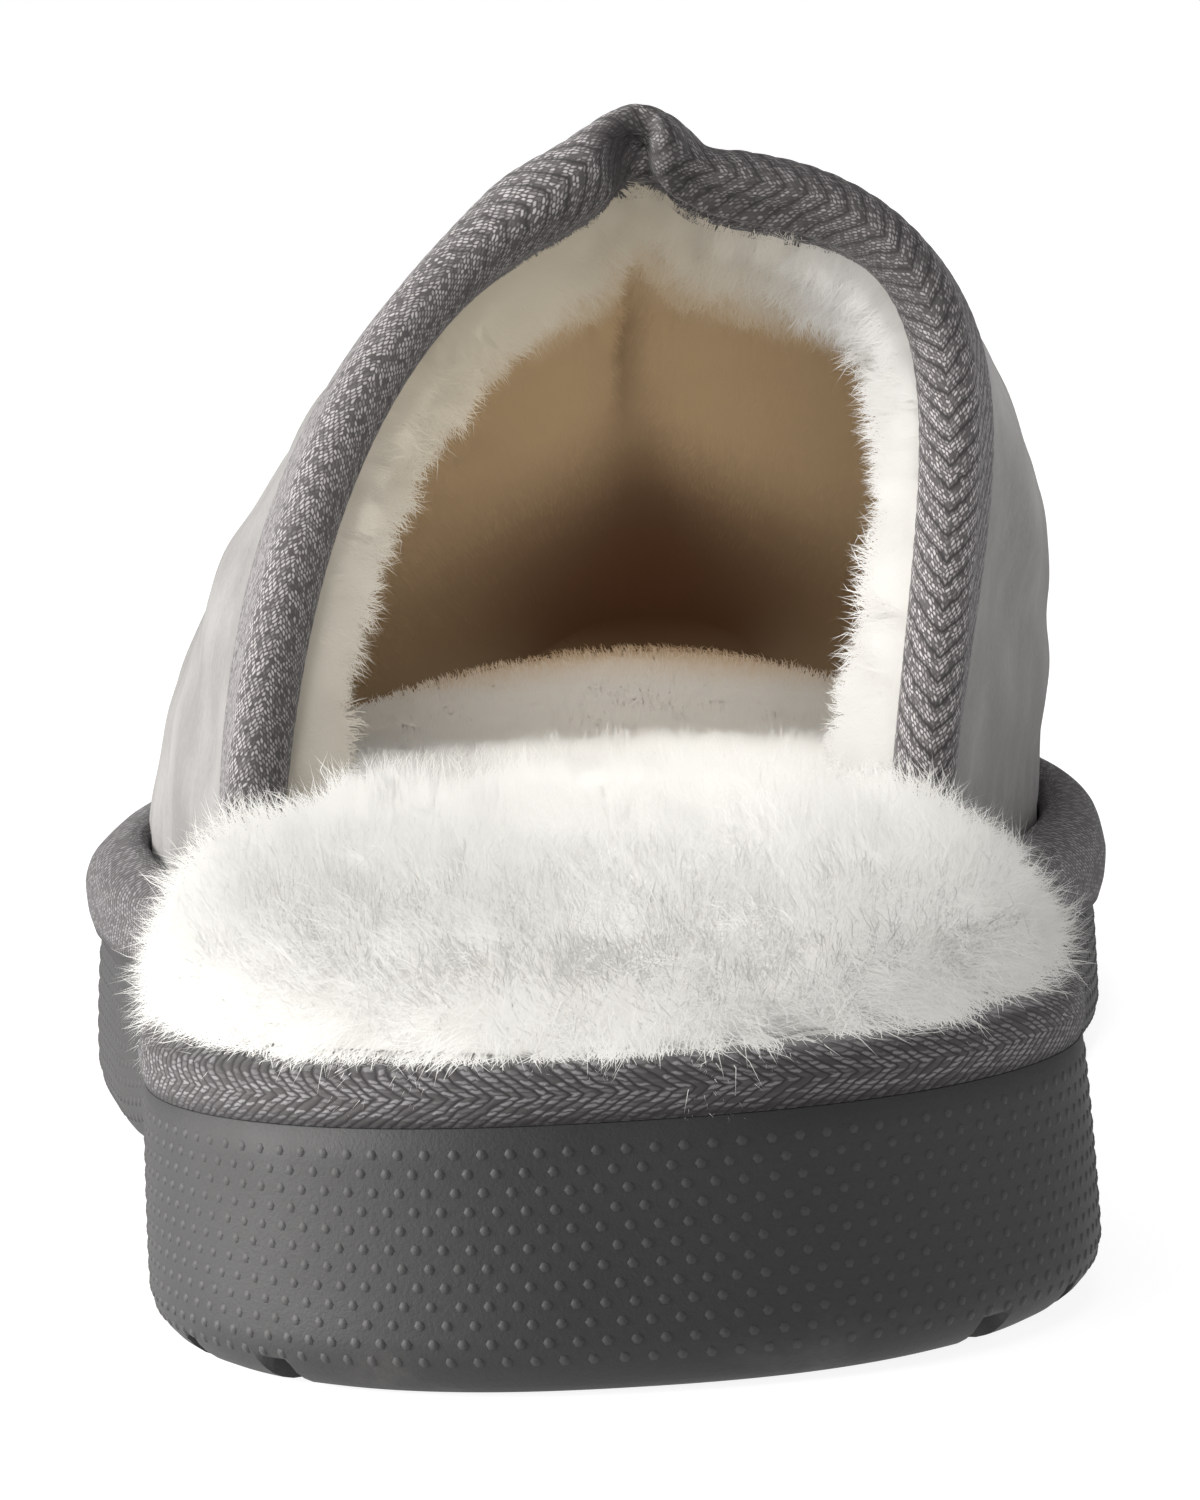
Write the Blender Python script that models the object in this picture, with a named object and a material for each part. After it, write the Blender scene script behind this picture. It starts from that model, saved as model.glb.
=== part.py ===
"""A sheepskin mule slipper for the left foot.

Five pieces are put together: a moulded outsole, a woven tape band round the platform's edge, a fur insole,
a hollow suede upper and the tape that binds its collar.

Metres, +Z up. +Y points to the toe and +X to the inner side of the foot. The origin lies on the floor,
under the middle of the sole.
"""

import bisect
import math
from collections import namedtuple

import bmesh
import bpy
from mathutils import Vector

MM = 0.001

# Driving dimensions
SOLE_LENGTH = 278 * MM
UPPER_WALL = 2.0 * MM
GAP = 0.3 * MM

# Plan outline of the outsole: share of the length from heel to toe, centre line and half width in
# millimetres
OutlineRow = namedtuple("OutlineRow", "along centre half_width")
OUTLINE = [
    OutlineRow(0.00, 1.5, 41.5),
    OutlineRow(0.16, 1.0, 42.6),
    OutlineRow(0.30, -0.3, 41.8),
    OutlineRow(0.40, -1.5, 40.8),
    OutlineRow(0.48, -1.7, 44.2),
    OutlineRow(0.56, -1.2, 49.0),
    OutlineRow(0.68, 0.0, 53.2),
    OutlineRow(0.80, 2.0, 52.4),
    OutlineRow(0.90, 4.2, 49.6),
    OutlineRow(1.00, 6.5, 46.0),
]
HEEL_ROUND_SHARE = 0.165
TOE_ROUND_SHARE = 0.26
HEEL_ROUND_POWER = 2.35
TOE_ROUND_POWER = 2.3

# Heights along the sole in millimetres: underside, joint of sole and band, top of the band, top of the fur
HeightRow = namedtuple("HeightRow", "along ground joint band_top fur_top")
HEIGHTS = [
    HeightRow(0.00, 0.0, 23.6, 28.6, 38.0),
    HeightRow(0.10, 0.0, 23.4, 28.4, 39.5),
    HeightRow(0.37, 0.0, 21.8, 27.8, 39.5),
    HeightRow(0.46, 2.0, 20.0, 27.4, 38.5),
    HeightRow(0.55, 0.0, 18.4, 27.0, 37.5),
    HeightRow(0.77, 0.0, 16.6, 27.0, 37.0),
    HeightRow(0.90, 2.4, 18.2, 28.4, 38.0),
    HeightRow(1.00, 6.5, 21.6, 31.0, 40.0),
]

# The soft forefoot is twisted against the heel: it leans to the medial side and its lateral edge is lifted
FOREFOOT_TWIST = math.radians(1.9)
TWIST_NONE_TO = 0.20
TWIST_FULL_FROM = 0.50
TWIST_FULL_HEIGHT = 18 * MM

# Outsole side wall and tread
SOLE_EDGE_RADIUS = 7.0 * MM
SOLE_EDGE_STEPS = 4
SOLE_TAPER = 0.6 * MM
SOLE_TOP_CHAMFER = 0.6 * MM
RING_STEPS = 42
LUG_PITCH = 12.0 * MM
GROOVE_WIDTH = 3.2 * MM
GROOVE_DEPTH = 2.2 * MM
GROOVED_STRETCHES = [(0.045, 0.36), (0.56, 0.90)]

# Band: share of its height, how far it stands out of the sole's outline at the heel and at the forefoot
BandRow = namedtuple("BandRow", "rise heel forefoot")
BAND_PROFILE = [
    BandRow(0.00, 0.1, 0.1),
    BandRow(0.25, 0.7, 0.8),
    BandRow(0.50, 1.0, 1.0),
    BandRow(0.72, 0.4, 0.4),
    BandRow(0.90, -0.7, -1.3),
    BandRow(1.00, -2.4, -3.8),
]
BAND_FULL_FROM = 0.30
BAND_FULL_TO = 0.62
BAND_REACH_IN_HEEL = 9.3 * MM
BAND_REACH_IN_FOREFOOT = 6.0 * MM
BAND_INNER_CHAMFER = 0.8 * MM
BAND_NARROWS_BEFORE = 14 * MM

# Upper: places along the whole length, ridge line in millimetres and the roundness of its two sides
UpperRow = namedtuple("UpperRow", "along ridge_shift ridge_top lateral_round medial_round medial_belly")
UPPER = [
    UpperRow(0.36, 7.2, 104.5, 1.85, 2.90, 8.0),
    UpperRow(0.46, 7.2, 98.8, 1.88, 2.90, 8.0),
    UpperRow(0.55, 6.5, 90.5, 2.00, 3.00, 7.5),
    UpperRow(0.66, 5.0, 78.0, 2.05, 2.80, 5.5),
    UpperRow(0.78, 4.0, 66.5, 2.15, 2.40, 2.8),
    UpperRow(0.90, 3.0, 56.0, 2.15, 2.20, 0.8),
    UpperRow(1.00, 2.0, 50.0, 2.15, 2.15, 0.0),
]
UPPER_INSET = BAND_REACH_IN_FOREFOOT + GAP
COLLAR_TOP_ALONG = 0.465
COLLAR_END_ALONG = 0.388
TOE_DOME = 42 * MM
TOE_DOME_POWER = 2.2
SEAM_PEAK = 4.6 * MM
SEAM_PEAK_WIDTH = 6.2 * MM
SEAM_PEAK_LENGTH = 26 * MM
UPPER_SIDE_STEPS = 14
BASE_CROWDING = 1.25

# Collar binding, as a section across the fold: distance from the collar edge along the upper, and height over
# the upper's outer face
BindingPoint = namedtuple("BindingPoint", "along height")
TAPE = 1.2 * MM
TAPE_LEG = 10.0 * MM
HALF_LEG = 4.5 * MM
ROLL_INSIDE = 5.2 * MM
ROLL_NOSE = 2.4 * MM
SLOT_INSIDE = UPPER_WALL + 0.45 * MM
BINDING_PROFILE = [
    BindingPoint(HALF_LEG, GAP),
    BindingPoint(TAPE_LEG, GAP),
    BindingPoint(TAPE_LEG, GAP + TAPE),
    BindingPoint(HALF_LEG, GAP + TAPE + 0.1 * MM),
    BindingPoint(0.0, GAP + TAPE),
    BindingPoint(-ROLL_NOSE, -0.25 * ROLL_INSIDE),
    BindingPoint(-ROLL_NOSE, -0.60 * ROLL_INSIDE),
    BindingPoint(-0.2 * ROLL_NOSE, -0.95 * ROLL_INSIDE),
    BindingPoint(HALF_LEG, -ROLL_INSIDE),
    BindingPoint(TAPE_LEG, -0.85 * ROLL_INSIDE),
    BindingPoint(TAPE_LEG, -SLOT_INSIDE),
    BindingPoint(HALF_LEG, -SLOT_INSIDE),
    BindingPoint(-GAP, -SLOT_INSIDE),
    BindingPoint(-GAP, GAP),
]
BINDING_LOW_END = 0.975

# Insole: rings from its foot up to its crown, as inset from the outline at the heel and in the upper,
# and the share of the pile's height above the band
FurRow = namedtuple("FurRow", "heel_inset forefoot_inset rise")
FUR_RINGS = [
    FurRow(9.6, 15.2, 0.04),
    FurRow(4.4, 15.6, 0.08),
    FurRow(2.4, 15.6, 0.24),
    FurRow(3.2, 16.0, 0.55),
    FurRow(7.0, 18.5, 0.86),
    FurRow(17.0, 25.0, 1.00),
]
INSOLE_INSET = BAND_REACH_IN_HEEL + GAP
FUR_NARROWS_BEFORE = 9 * MM
FUR_NARROWS_OVER = 9 * MM
LOCK_LENGTH = 7.5 * MM
LOCK_WIDTH = 5.4 * MM
LOCK_THICKNESS = 3.4 * MM
LOCK_ROOT = 2.6 * MM
LOCK_BEND = 1.2 * MM
RIM_RING = 2
RIM_LOCKS = 26
RIM_LOCK_RAISE = 1.9 * MM
RIM_LOCK_SUNK = 4.6 * MM
CROWN_LOCK_FIRST = 0.075
CROWN_LOCK_ROWS = 7
CROWN_LOCKS_ACROSS = 5
CROWN_LOCK_PITCH = 12.5 * MM
CROWN_LOCK_LIFT = 0.34
CROWN_LOCK_SWING = math.radians(50)

# Colours as seen in daylight, linear
SUEDE_GREY = (0.20, 0.19, 0.185)
SOLE_GREY = (0.075, 0.075, 0.078)
TAPE_GREY = (0.12, 0.112, 0.115)
FUR_WHITE = (0.80, 0.78, 0.72)

HEEL, TOE = -SOLE_LENGTH / 2, SOLE_LENGTH / 2
MEDIAL, LATERAL = 1, -1
UP = Vector((0.0, 0.0, 1.0))
FORWARD = Vector((0.0, 1.0, 0.0))


def smooth(rows, column, at):
    """Value of a table's column at a place along it: a cubic that never overshoots its rows."""
    places = [row.along for row in rows]
    values = [getattr(row, column) for row in rows]
    at = min(max(at, places[0]), places[-1])
    here = min(max(bisect.bisect_right(places, at), 1), len(rows) - 1)
    steps = [b - a for a, b in zip(places, places[1:])]
    rates = [(b - a) / step for a, b, step in zip(values, values[1:], steps)]

    def slope(row):
        if row in (0, len(rows) - 1):
            return rates[min(row, len(rates) - 1)]
        before, after = rates[row - 1], rates[row]
        return 2 * before * after / (before + after) if before * after > 0 else 0.0

    low, step = here - 1, steps[here - 1]
    t = (at - places[low]) / step
    return (
        values[low] * (2 * t**3 - 3 * t**2 + 1)
        + values[here] * (3 * t**2 - 2 * t**3)
        + step * (slope(low) * (t**3 - 2 * t**2 + t) + slope(here) * (t**3 - t**2))
    )


def rounded_end(share, power):
    """Width left at a share of the way into a rounded end: 0 at its tip, 1 where the end is passed."""
    return (1 - (1 - min(share, 1.0)) ** power) ** (1 / power)


def blend(value, start, end):
    """Soft step from 0 at start to 1 at end."""
    t = min(max((value - start) / (end - start), 0.0), 1.0)
    return t * t * (3 - 2 * t)


def share_along(y, offset=0.0):
    """Share of the length at y, on the outline set out by offset."""
    reach = SOLE_LENGTH / 2 + offset
    return min(max((y + reach) / (2 * reach), 0.0), 1.0)


def place_along(share):
    return HEEL + share * SOLE_LENGTH


def edge_x(y, side, offset):
    """X of the outline set out by offset, on the medial or lateral side."""
    along = share_along(y, offset)
    half = smooth(OUTLINE, "half_width", along) * MM + offset
    half *= rounded_end(along / HEEL_ROUND_SHARE, HEEL_ROUND_POWER)
    half *= rounded_end((1 - along) / TOE_ROUND_SHARE, TOE_ROUND_POWER)
    return centre_x(y) + side * half


def centre_x(y):
    return smooth(OUTLINE, "centre", share_along(y)) * MM + OUTLINE_SHIFT


def height(column, y):
    return smooth(HEIGHTS, column, share_along(y)) * MM


def outline_ring(offset_at, z_at):
    """Points round the outline: from the heel along the medial side to the toe, and back on the other side.

    offset_at and z_at give the offset and height at a place y.
    """
    points = []
    for step in range(2 * RING_STEPS):
        turn = math.pi * step / RING_STEPS
        side = MEDIAL if step <= RING_STEPS else LATERAL
        y_plain = -math.cos(turn) * SOLE_LENGTH / 2
        offset = offset_at(y_plain)
        y = y_plain * (1 + 2 * offset / SOLE_LENGTH)
        points.append(Vector((edge_x(y, side, offset), y, z_at(y_plain))))
    return points


def twisted(point):
    """Where the twist of the forefoot puts a point of the straight slipper. The floor stays flat."""
    share = blend(share_along(point.y), TWIST_NONE_TO, TWIST_FULL_FROM)
    share *= blend(point.z, 0.0, TWIST_FULL_HEIGHT)
    lean = share * math.tan(FOREFOOT_TWIST)
    return Vector((point.x + lean * point.z, point.y, point.z - lean * point.x))


def mesh_object(name, points, faces, material):
    """One object from points and faces, with coincident points joined and faces turned outward."""
    index, used, unique = [], {}, []
    for point in map(twisted, points):
        key = tuple(round(value / (0.001 * MM)) for value in point)
        if key not in used:
            used[key] = len(unique)
            unique.append(point)
        index.append(used[key])
    shape = bmesh.new()
    corners = [shape.verts.new(point) for point in unique]
    for face in faces:
        ring = list(dict.fromkeys(index[corner] for corner in face))
        if len(ring) > 2:
            shape.faces.new([corners[corner] for corner in ring])
    bmesh.ops.recalc_face_normals(shape, faces=shape.faces)
    mesh = bpy.data.meshes.new(name)
    shape.to_mesh(mesh)
    shape.free()
    mesh.materials.append(material)
    mesh.shade_smooth()
    mesh.set_sharp_from_angle(angle=math.radians(38))
    thing = bpy.data.objects.new(name, mesh)
    bpy.context.scene.collection.objects.link(thing)
    return thing


def ring_faces(rings, count, closed):
    """Quads between rings of the same count, the last ring joined to the first where closed."""
    faces = []
    for low in range(rings if closed else rings - 1):
        high = (low + 1) % rings
        for step in range(count):
            after = (step + 1) % count
            near, far = low * count, high * count
            faces.append((near + step, near + after, far + after, far + step))
    return faces


def ladder_faces(ring):
    """Quads across one outline ring, from its lateral side to its medial side, heel to toe."""
    count = 2 * RING_STEPS
    first = ring * count
    return [
        (first + step, first + step + 1, first + (count - step - 1) % count, first + (count - step) % count)
        for step in range(RING_STEPS)
    ]


def stacked_solid(name, rings, material):
    """Closed solid from outline rings, lowest first, with a ladder of faces under and over it."""
    points = [point for ring in rings for point in ring]
    faces = ring_faces(len(rings), 2 * RING_STEPS, closed=False)
    faces += ladder_faces(0) + ladder_faces(len(rings) - 1)
    return mesh_object(name, points, faces, material)


def cutter(name, points, faces):
    """A hidden shape that cuts or joins another."""
    thing = mesh_object(name, points, faces, finish("construction", FUR_WHITE, 1.0))
    thing.hide_render = True
    thing.display_type = "WIRE"
    return thing


def boolean(thing, other, operation):
    modifier = thing.modifiers.new(operation.lower(), "BOOLEAN")
    modifier.operation = operation
    modifier.solver = "EXACT"
    modifier.object = other


def finish(name, colour, roughness):
    """Principled material of one colour."""
    material = bpy.data.materials.get(name) or bpy.data.materials.new(name)
    material.use_nodes = True
    shader = material.node_tree.nodes["Principled BSDF"]
    shader.inputs["Base Color"].default_value = (*colour, 1.0)
    shader.inputs["Roughness"].default_value = roughness
    shader.inputs["Metallic"].default_value = 0.0
    material.diffuse_color = (*colour, 1.0)
    return material


def build_outsole():
    """Wedge unit: rounded lower edge, wall that tapers in upwards, chamfered top edge and cross grooves."""

    def ring(offset, rise_at):
        return outline_ring(lambda y: offset, rise_at)

    rings = []
    for step in range(SOLE_EDGE_STEPS):
        turn = math.pi / 2 * step / (SOLE_EDGE_STEPS - 1)
        offset = -SOLE_EDGE_RADIUS * (1 - math.sin(turn))
        rise = SOLE_EDGE_RADIUS * (1 - math.cos(turn))
        rings.append(ring(offset, lambda y, rise=rise: height("ground", y) + rise))
    rings.append(ring(-0.3 * SOLE_TAPER, lambda y: 0.35 * height("ground", y) + 0.65 * height("joint", y)))
    rings.append(ring(-SOLE_TAPER, lambda y: height("joint", y) - SOLE_TOP_CHAMFER))
    rings.append(ring(-SOLE_TAPER - SOLE_TOP_CHAMFER, lambda y: height("joint", y)))
    outsole = stacked_solid("outsole", rings, finish("sole_foam", SOLE_GREY, 0.75))
    boolean(outsole, groove_cutter(), "DIFFERENCE")
    return outsole


def groove_cutter():
    """Bars across the underside, one between each two lugs, that follow the rise of the toe."""
    reach = 0.6 * SOLE_LENGTH
    points, faces = [], []
    for start, end in GROOVED_STRETCHES:
        count = round((end - start) * SOLE_LENGTH / LUG_PITCH)
        for bar in range(count + 1):
            y = place_along(start + (end - start) * bar / count)
            top = height("ground", y) + GROOVE_DEPTH
            first = len(points)
            for x in (-reach, reach):
                for dy, z in ((-0.5, -0.01), (0.5, -0.01), (0.36, top), (-0.36, top)):
                    points.append(Vector((x, y + dy * GROOVE_WIDTH, z)))
            near, far = range(first, first + 4), range(first + 4, first + 8)
            faces += [tuple(near), tuple(far)]
            faces += [(near[k], near[(k + 1) % 4], far[(k + 1) % 4], far[k]) for k in range(4)]
    return cutter("tread_grooves", points, faces)


def band_reach_in(y):
    """How far the band reaches in from the outline: less where the upper stands beside it."""
    end = place_along(COLLAR_END_ALONG)
    part = blend(y, end - 2 * BAND_NARROWS_BEFORE, end - BAND_NARROWS_BEFORE)
    return BAND_REACH_IN_HEEL + part * (BAND_REACH_IN_FOREFOOT - BAND_REACH_IN_HEEL)


def build_edge_band():
    """Tape round the platform's edge: a low strip at the heel that becomes a fuller roll at the forefoot."""

    def stand_out(row, y):
        full = blend(share_along(y), BAND_FULL_FROM, BAND_FULL_TO)
        return (row.heel + full * (row.forefoot - row.heel)) * MM

    def foot(y):
        return height("joint", y) + GAP

    def top(y):
        return height("band_top", y)

    def inner(y):
        return -band_reach_in(y)

    rings = []
    for row in BAND_PROFILE:
        rings.append(
            outline_ring(
                lambda y, row=row: stand_out(row, y),
                lambda y, row=row: foot(y) + row.rise * (top(y) - foot(y)),
            )
        )
    rings.append(outline_ring(lambda y: inner(y) + BAND_INNER_CHAMFER, top))
    rings.append(outline_ring(inner, lambda y: top(y) - BAND_INNER_CHAMFER))
    rings.append(outline_ring(inner, foot))
    points = [point for ring in rings for point in ring]
    faces = ring_faces(len(rings), 2 * RING_STEPS, closed=True)
    return mesh_object("edge_band", points, faces, finish("woven_tape", TAPE_GREY, 0.9))


def toe_closing(y):
    """Share of the ridge's height that is left at y, near the toe."""
    tip = TOE - UPPER_INSET
    return rounded_end(max(tip - y, 0.0) / TOE_DOME, TOE_DOME_POWER)


def upper_point(y, around):
    """Outer face of the upper. around is -1 at the lateral edge, 0 on the ridge and 1 at the medial edge."""
    side = MEDIAL if around > 0 else LATERAL
    along = share_along(y)
    climb = math.pi / 2 * (1 - abs(around)) ** BASE_CROWDING
    roundness = smooth(UPPER, "medial_round" if side == MEDIAL else "lateral_round", along)
    closing = toe_closing(y)
    foot = height("band_top", y)
    ridge_x = centre_x(y) + smooth(UPPER, "ridge_shift", along) * MM * closing
    top = foot + (smooth(UPPER, "ridge_top", along) * MM - foot) * closing
    x = ridge_x + (edge_x(y, side, -UPPER_INSET) - ridge_x) * math.cos(climb) ** (2 / roundness)
    z = foot + (top - foot) * math.sin(climb) ** (2 / roundness)
    if side == MEDIAL:
        x += smooth(UPPER, "medial_belly", along) * MM * closing * math.sin(2 * climb)
    behind_seam = max(y - place_along(COLLAR_TOP_ALONG), 0.0) / SEAM_PEAK_LENGTH
    z += SEAM_PEAK * math.exp(-(((x - ridge_x) / SEAM_PEAK_WIDTH) ** 2) - behind_seam)
    return Vector((x, y, z))


def collar_y(around):
    """Where the collar cuts the upper: furthest forward on the ridge, swept back at both ends."""
    climb = math.pi / 2 * (1 - abs(around)) ** BASE_CROWDING
    return place_along(COLLAR_END_ALONG + (COLLAR_TOP_ALONG - COLLAR_END_ALONG) * math.sin(climb))


def upper_foot(y, side):
    """Lower edge of the upper, held between the band and the insole."""
    return Vector((edge_x(y, side, -UPPER_INSET), y, height("joint", y) + GAP))


def steps_around():
    """Steps over the upper, from its lateral edge to its medial edge."""
    return [step / UPPER_SIDE_STEPS for step in range(-UPPER_SIDE_STEPS, UPPER_SIDE_STEPS + 1)]


def rows_toward_toe():
    """Shares of the way from collar to toe: two rows under the binding, the rest in step with the band."""
    collar = place_along(COLLAR_END_ALONG)
    tip = TOE - UPPER_INSET
    rows = [collar, collar + HALF_LEG, collar + TAPE_LEG]
    for step in range(RING_STEPS + 1):
        y = -math.cos(math.pi * step / RING_STEPS) * tip
        if y > collar + 1.4 * TAPE_LEG:
            rows.append(y)
    return [(y - collar) / (tip - collar) for y in rows]


def build_upper():
    """Hollow vamp, in rows from collar to toe that each run from one lower edge over to the other."""
    steps = steps_around()
    rows = rows_toward_toe()
    tip = TOE - UPPER_INSET
    points = []
    for toward_toe in rows:
        places = [collar_y(around) + (tip - collar_y(around)) * toward_toe for around in steps]
        points.append(upper_foot(places[0], LATERAL))
        points += [upper_point(y, around) for y, around in zip(places, steps)]
        points.append(upper_foot(places[-1], MEDIAL))
    count = len(steps) + 2
    faces = []
    for row in range(len(rows) - 1):
        for step in range(count - 1):
            near = row * count + step
            faces.append((near, near + 1, near + count + 1, near + count))
    upper = mesh_object("upper", points, faces, finish("suede", SUEDE_GREY, 0.95))
    wall = upper.modifiers.new("wall", "SOLIDIFY")
    wall.thickness = UPPER_WALL
    wall.offset = -1.0
    wall.use_rim = True
    return upper


def surface_frame(around, along):
    """Point on the upper at a distance along from the collar edge, its normal and its forward direction."""
    step = 0.2 * MM
    turn = 1 / UPPER_SIDE_STEPS
    y = collar_y(around) + max(along, 0.0)
    here = upper_point(y, around)
    forward = (upper_point(y + step, around) - here).normalized()
    left = max(around - turn, -1.0)
    right = min(around + turn, 1.0)
    across = upper_point(y, right) - upper_point(y, left)
    normal = across.cross(forward).normalized()
    return here, normal, forward


def build_collar_binding():
    """Tape folded over the collar's edge, from just above the band on one side to the other."""
    points = []
    steps = [min(max(around, -BINDING_LOW_END), BINDING_LOW_END) for around in steps_around()]
    for around in steps:
        for corner in BINDING_PROFILE:
            here, normal, forward = surface_frame(around, corner.along)
            points.append(here + normal * corner.height + forward * min(corner.along, 0.0))
    count = len(BINDING_PROFILE)
    faces = ring_faces(len(steps), count, closed=False)
    faces.append(tuple(range(count)))
    faces.append(tuple(range(len(points) - count, len(points))))
    return mesh_object("collar_binding", points, faces, finish("woven_tape", TAPE_GREY, 0.9))


def fur_inset(row, y):
    """Inset of a ring of the fur: it overhangs the band at the heel and narrows to go into the upper."""
    end = place_along(COLLAR_END_ALONG) - FUR_NARROWS_BEFORE
    part = blend(y, end - FUR_NARROWS_OVER, end)
    return (row.heel_inset + part * (row.forefoot_inset - row.heel_inset)) * MM


def fur_ring(row):
    return outline_ring(
        lambda y: -fur_inset(row, y),
        lambda y: height("band_top", y) + row.rise * (height("fur_top", y) - height("band_top", y)),
    )


def build_insole():
    """Footbed: a board inside the band, and over it the pile, with locks at its rim and on its crown."""
    rings = [
        outline_ring(lambda y: -INSOLE_INSET, lambda y: height("joint", y) + GAP),
        outline_ring(lambda y: -INSOLE_INSET, lambda y: height("band_top", y) - BAND_INNER_CHAMFER),
    ]
    rings += [fur_ring(row) for row in FUR_RINGS]
    insole = stacked_solid("insole", rings, finish("fur", FUR_WHITE, 1.0))
    boolean(insole, fur_locks(), "UNION")
    return insole


def lock(root, way, up):
    """Points and faces of one lock: a ridged root, a fuller middle and a drooping tip, laid along way."""
    across = way.cross(up).normalized()
    points = []
    for reach, breadth in ((-LOCK_ROOT, 0.36), (0.4 * LOCK_LENGTH, 0.5)):
        middle = root + way * reach
        for side, rise in ((-1, 0), (0, -1), (1, 0), (0, 1)):
            points.append(middle + breadth * (across * side * LOCK_WIDTH + up * rise * LOCK_THICKNESS))
    points.append(root + way * LOCK_LENGTH - up * LOCK_BEND)
    faces = [(0, 1, 2, 3)]
    faces += [(k, (k + 1) % 4, 4 + (k + 1) % 4, 4 + k) for k in range(4)]
    faces += [(4 + k, 4 + (k + 1) % 4, 8) for k in range(4)]
    return points, faces


def evenly(points, count):
    """Places at equal distances along a line of points, each with the line's direction there."""
    lengths = [0.0]
    for near, far in zip(points, points[1:]):
        lengths.append(lengths[-1] + (far - near).length)
    placed = []
    for number in range(count):
        travel = lengths[-1] * (number + 0.5) / count
        piece = min(bisect.bisect_right(lengths, travel), len(points) - 1)
        near, far = points[piece - 1], points[piece]
        share = (travel - lengths[piece - 1]) / (lengths[piece] - lengths[piece - 1])
        placed.append((near.lerp(far, share), (far - near).normalized()))
    return placed


def rim_locks():
    """Locks round the heel, which point out over the band: root, direction and upward direction of each."""
    last = place_along(COLLAR_END_ALONG) - 3 * FUR_NARROWS_BEFORE
    heel_line = [point for point in fur_ring(FUR_RINGS[RIM_RING]) if point.y < last]
    heel_line.sort(key=lambda point: math.atan2(point.x, last - point.y))
    placed = []
    for spot, along in evenly(heel_line, RIM_LOCKS):
        way = Vector((along.y, -along.x, 0.0)).normalized()
        placed.append((spot + UP * RIM_LOCK_RAISE - way * RIM_LOCK_SUNK, way, UP))
    return placed


def crown_locks():
    """Locks over the open part of the footbed, in staggered rows. They lean to the heel, each its own way."""
    placed = []
    for row in range(CROWN_LOCK_ROWS):
        y = place_along(CROWN_LOCK_FIRST) + row * CROWN_LOCK_PITCH
        count = CROWN_LOCKS_ACROSS - (row + 1) % 2
        for column in range(count):
            x = centre_x(y) + (column - 0.5 * (count - 1)) * CROWN_LOCK_PITCH
            heading = CROWN_LOCK_SWING * math.sin(2.4 * (column + CROWN_LOCKS_ACROSS * row))
            level = Vector((math.sin(heading), -math.cos(heading), 0.0))
            way = (level + UP * CROWN_LOCK_LIFT).normalized()
            upward = (UP - level * CROWN_LOCK_LIFT).normalized()
            placed.append((Vector((x, y, height("fur_top", y))), way, upward))
    return placed


def fur_locks():
    """All the locks as one hidden shape, none of them touching another."""
    points, faces = [], []
    for root, way, up in rim_locks() + crown_locks():
        new_points, new_faces = lock(root, way, up)
        faces += [tuple(len(points) + corner for corner in face) for face in new_faces]
        points += new_points
    return cutter("fur_locks", points, faces)


def outline_shift():
    """Sideways shift that puts the middle of the band's width, the widest part, at X = 0."""
    stand_out = max(row.forefoot for row in BAND_PROFILE) * MM
    reach = []
    for step in range(201):
        y = place_along(step / 200)
        middle = 0.5 * (height("joint", y) + height("band_top", y))
        for side in (MEDIAL, LATERAL):
            reach.append(twisted(Vector((edge_x(y, side, stand_out), y, middle))).x)
    return -0.5 * (max(reach) + min(reach))


for old in list(bpy.data.objects):
    bpy.data.objects.remove(old, do_unlink=True)
OUTLINE_SHIFT = 0.0
OUTLINE_SHIFT = outline_shift()
build_outsole()
build_edge_band()
build_insole()
build_upper()
build_collar_binding()
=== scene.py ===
"""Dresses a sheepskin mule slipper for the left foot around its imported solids.

The form is worked out here from the same named sizes as the solids: a last with its plan outline, heights,
ridge and collar. Each sub-assembly then builds its own finer pieces on that last and gives them their finish:
the foam sole, the herringbone tapes, the suede vamp, its fur lining and the deep fur footbed.

Metres, +Z up. +Y points to the toe and +X to the inner side of the foot.
"""

import logging
import math
from dataclasses import dataclass, field
from enum import Enum
from typing import NamedTuple

import bmesh
import bpy
import numpy as np
from mathutils import Matrix, Vector
from mathutils.kdtree import KDTree


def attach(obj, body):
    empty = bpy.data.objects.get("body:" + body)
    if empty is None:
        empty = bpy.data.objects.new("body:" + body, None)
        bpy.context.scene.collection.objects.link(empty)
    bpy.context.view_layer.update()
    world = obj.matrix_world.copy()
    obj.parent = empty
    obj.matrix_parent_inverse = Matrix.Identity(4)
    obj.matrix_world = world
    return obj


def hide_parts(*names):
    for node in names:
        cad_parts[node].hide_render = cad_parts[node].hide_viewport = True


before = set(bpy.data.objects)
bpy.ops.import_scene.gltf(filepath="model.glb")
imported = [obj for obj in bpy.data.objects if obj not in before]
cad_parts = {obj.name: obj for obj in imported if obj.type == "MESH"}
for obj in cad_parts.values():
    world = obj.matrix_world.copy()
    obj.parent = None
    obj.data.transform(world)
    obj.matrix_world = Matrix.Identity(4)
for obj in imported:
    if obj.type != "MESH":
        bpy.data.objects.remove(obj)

MM = 0.001
BODY = "root"
LOG = logging.getLogger("slipper")
SKIN_MARK = (0.4, 0.5, 0.0)
Span = tuple[float, float]
Triple = tuple[float, float, float]


class Slot(Enum):
    """Names of the material slots."""

    SOLE = "sole_foam"
    TAPE = "woven_tape"
    FUR = "fur"
    SUEDE = "suede"


class Side(Enum):
    """Sides of the foot, as the sign of X."""

    MEDIAL = 1
    LATERAL = -1


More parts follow.
